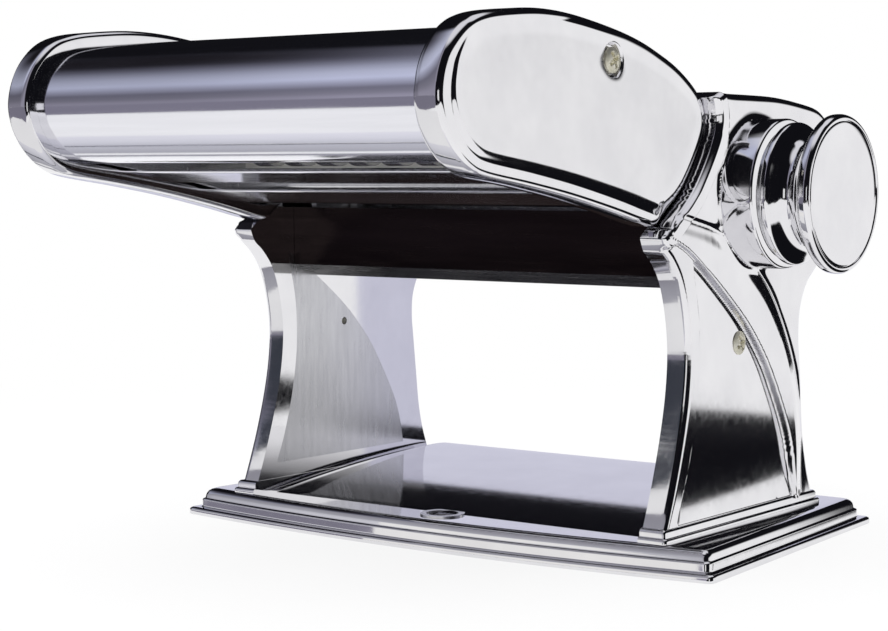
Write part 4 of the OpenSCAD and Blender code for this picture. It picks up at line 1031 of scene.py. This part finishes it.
# near the object the floor keeps a part of its shadow, far away it is the plain backdrop
s = stageLook["floorSize"]
mesh = bpy.data.meshes.new("floor")
mesh.from_pydata([(-s, -s, 0), (s, -s, 0), (s, s, 0), (-s, s, 0)], [], [[0, 1, 2, 3]])
floor = placed("floor", mesh)
tree = bareMaterial("paleFloor", mesh)
paint = addNode(tree, "BsdfDiffuse", {"Color": stageLook["floorTone"]}).outputs[0]
glow = addNode(tree, "Emission", {"Color": white, "Strength": 1}).outputs[0]
size = addNode(tree, "VectorMath", {0: placeOf(tree)}, "LENGTH").outputs["Value"]
share = between(tree, size, *stageLook["shadowWay"], 1 - stageLook["shadowShare"], 1)
share = mathOf(tree, "MULTIPLY", seenRays(tree), share)
both = addNode(tree, "MixShader", {"Fac": share, 1: paint, 2: glow}).outputs[0]
addNode(tree, "OutputMaterial", {"Surface": both})

# the world is the white backdrop, and a plain even sky for the light it gives
world = bpy.data.worlds.new("studio")
bpy.context.scene.world = world
world.use_nodes = True
tree = world.node_tree
sky = tree.nodes["Background"]
feed(tree, sky.inputs["Color"], mixedTone(tree, seenRays(tree), stageLook["sky"], white))
feed(tree, sky.inputs["Strength"], 1)

# cards and flags that only the polished metal mirrors: a grey room past the table's front edge, black flags
# to the right and behind, a card before the right one, and a black disc lying at the back right
stageCard("greyRoomFloor", [(-6, -6, 0.001), (0.15, -6, 0.001), (0.02, -0.52, 0.001), (-0.42, -0.214, 0.001),
                            (-6, -0.214, 0.001)], [[0, 1, 2, 3, 4]], violet)
stageCard("blackRoomFloor", [(0.15, -6, 0.001), (6, -6, 0.001), (6, -0.52, 0.001), (0.02, -0.52, 0.001)],
          [[0, 1, 2, 3]], black)
tonedWall("flagRight", 0.95, -88, 8, 0.45, black)
tonedWall("cardRight", 0.9, -63, -47, 0.25, white, 0.9)
tonedWall("flagBack", 1.25, 80, 188, 0.5, black)
lyingCard("flagLying", (-0.1, -0.1), (0.7, 0.7), 0.001, black, 1, ((0.26, 0.15, 0), 0.135, 0.155))
# low cards before the base and behind it, with a black flag lying under the one behind
standingCard("bounceFront", (-0.085, 0.002), (0.078, 0.05), -0.135, (0.95, 0.94, 0.92))
standingCard("bounceBack", (-0.5, 0.001), (0.06, 0.086), 0.16, (0.66, 0.66, 0.78))
lyingCard("flagUnder", (-0.3, 0.07), (0.06, 0.25), 0.0015, black)
# what the legs' fronts mirror: a dark strip, with a white one below it and one above
standingCard("legShade", (-0.2, 0.0555), (0.08, 0.0785), -0.1355, (0.045, 0.05, 0.065))
standingCard("legFoot", (-0.2, 0.03), (0.08, 0.0545), -0.1, white, 0.9)
lyingCard("legLight", (-0.2, -0.21), (0.08, -0.15), 0.1, white, 0.9)

# painted shadow of the table in the metal: the card's tone greys towards the base, where the machine shades
# the table
tableShadowTones = [(0, white), (0.2, (0.86, 0.85, 0.9)), (0.4, (0.72, 0.72, 0.77)), (0.55, (0.55, 0.55, 0.6)),
              (0.7, (0.43, 0.43, 0.47)), (0.85, (0.36, 0.36, 0.4)), (1, (0.26, 0.25, 0.29))]
table = lyingCard("tableFront", (-0.6, -0.22), (0.11, -0.07), 0.03, white)
tree = table.data.materials[0].node_tree
y = addNode(tree, "SeparateXYZ", {0: placeOf(tree)}).outputs["Y"]
ladder = toneLadder(tree, mathOf(tree, "MULTIPLY_ADD", y, 6.25, 1.375), tableShadowTones)
feed(tree, tree.nodes["Emission"].inputs["Color"], ladder)

# the room above the table: tones by height (sine of the elevation) for its front left and its back right
roomLook = dict(front=[(0, (0.245, 0.235, 0.29)), (0.1, (0.23, 0.22, 0.275)), (0.2, (0.165, 0.16, 0.2)),
                       (0.3, (0.13, 0.127, 0.165)), (0.38, (0.26, 0.265, 0.34)), (0.46, (0.42, 0.44, 0.56)),
                       (0.54, (0.36, 0.375, 0.47)), (0.6, (0.26, 0.27, 0.34)), (0.67, (0.1, 0.1, 0.13)),
                       (0.71, (0.012, 0.011, 0.014)), (1, black)],
                side=[(0, white), (0.22, white), (0.33, black), (1, black)],
                lift=0.7, climb=-1.5, glow=1.35, lit=(0.8, 0.8, 0.84))
rows, cols = 33, 64
up, turn = np.meshgrid(np.linspace(-0.02, 0.5, rows) * np.pi, np.arange(cols) * 2 * np.pi / cols,
                       indexing="ij")
verts = np.stack([np.cos(up) * np.cos(turn), np.cos(up) * np.sin(turn), np.sin(up)], -1).reshape(-1, 3)
dome = stageCard("roomDome", verts * stageLook["roomSize"], gridFaces(rows, cols, loopCols=True), white)
tree = dome.data.materials[0].node_tree
place = placeOf(tree)
ahead = addNode(tree, "VectorMath", {0: place}, "NORMALIZE").outputs[0]
parts = addNode(tree, "SeparateXYZ", {0: ahead}).outputs
level = addNode(tree, "VectorMath", {0: place, 1: (1, 1, 0)}, "MULTIPLY").outputs[0]
bearing = addNode(tree, "VectorMath", {0: level}, "NORMALIZE").outputs[0]


# how far a ray's bearing agrees with the given one: the cosine of the angle between them
def facing(degrees):
    a = math.radians(degrees)
    dot = addNode(tree, "VectorMath", {0: bearing, 1: (math.cos(a), math.sin(a), 0)}, "DOT_PRODUCT")
    return dot.outputs["Value"]


# the lit strip in the grey room rises a little from left to right, and is brighter past its left end
sideTone = toneLadder(tree, parts["Z"], roomLook["side"])
rise = mathOf(tree, "MULTIPLY_ADD", mathOf(tree, "ADD", parts["X"], roomLook["lift"]), roomLook["climb"], 1)
frontTone = toneLadder(tree, mathOf(tree, "MULTIPLY", parts["Z"], rise), roomLook["front"])
brighter = between(tree, parts["X"], -0.71, -0.62, 1, roomLook["glow"])
frontTone = addNode(tree, "VectorMath", {0: frontTone, "Scale": brighter}, "SCALE").outputs[0]
# the grey room lies to the front left, the white side to the back right, and black between them
tone = mixedTone(tree, between(tree, facing(-138), 0.55, 0.75), black, frontTone)
tone = mixedTone(tree, between(tree, facing(41), 0.86, 0.91), tone, sideTone)
# a soft light overhead and one high at the back, for the covers seen from above
tone = mixedTone(tree, between(tree, parts["Z"], 0.86, 0.97), tone, roomLook["lit"])
high = between(tree, parts["Z"], 0.72, 0.8)
high = mathOf(tree, "MULTIPLY", high, between(tree, facing(85), 0.74, 0.86))
tone = mixedTone(tree, high, tone, roomLook["lit"])
feed(tree, tree.nodes["Emission"].inputs["Color"], tone)

# lamps: name, place, width and power; each looks at the middle of the machine
lampLook = (("topLamp", (0.0, -0.1, 1.3), 1.4, 14), ("frontLamp", (0.7, -1.3, 0.9), 0.9, 8),
            ("leftLamp", (-1.2, -0.5, 0.8), 0.9, 5))
for name, where, width, power in lampLook:
    data = bpy.data.lights.new(name, "AREA")
    data.shape, data.size, data.energy = "SQUARE", width, power
    lamp = placed(name, data)
    lamp.location = where
    lean = math.atan2(math.hypot(where[0], where[1]), where[2] - 0.08)
    lamp.rotation_euler = (lean, 0, math.atan2(where[0], -where[1]))
    lamp.visible_glossy = False

cameraLook = dict(place=(0.3798, -0.5343, 0.1141), turn=35.35, dip=4.474, focal=81.495811,
                  shift=(-0.1002, 0.0163))
data = bpy.data.cameras.new("camera")
data.sensor_width, data.lens = 36, cameraLook["focal"]
data.shift_x, data.shift_y = cameraLook["shift"]
data.clip_start, data.clip_end = 0.01, 50
camera = placed("camera", data)
camera.location = cameraLook["place"]
camera.rotation_euler = (math.radians(90 - cameraLook["dip"]), 0, math.radians(cameraLook["turn"]))
bpy.context.scene.camera = camera
bpy.context.scene.view_settings.view_transform = "Standard"
print("stage, lamps and camera set")
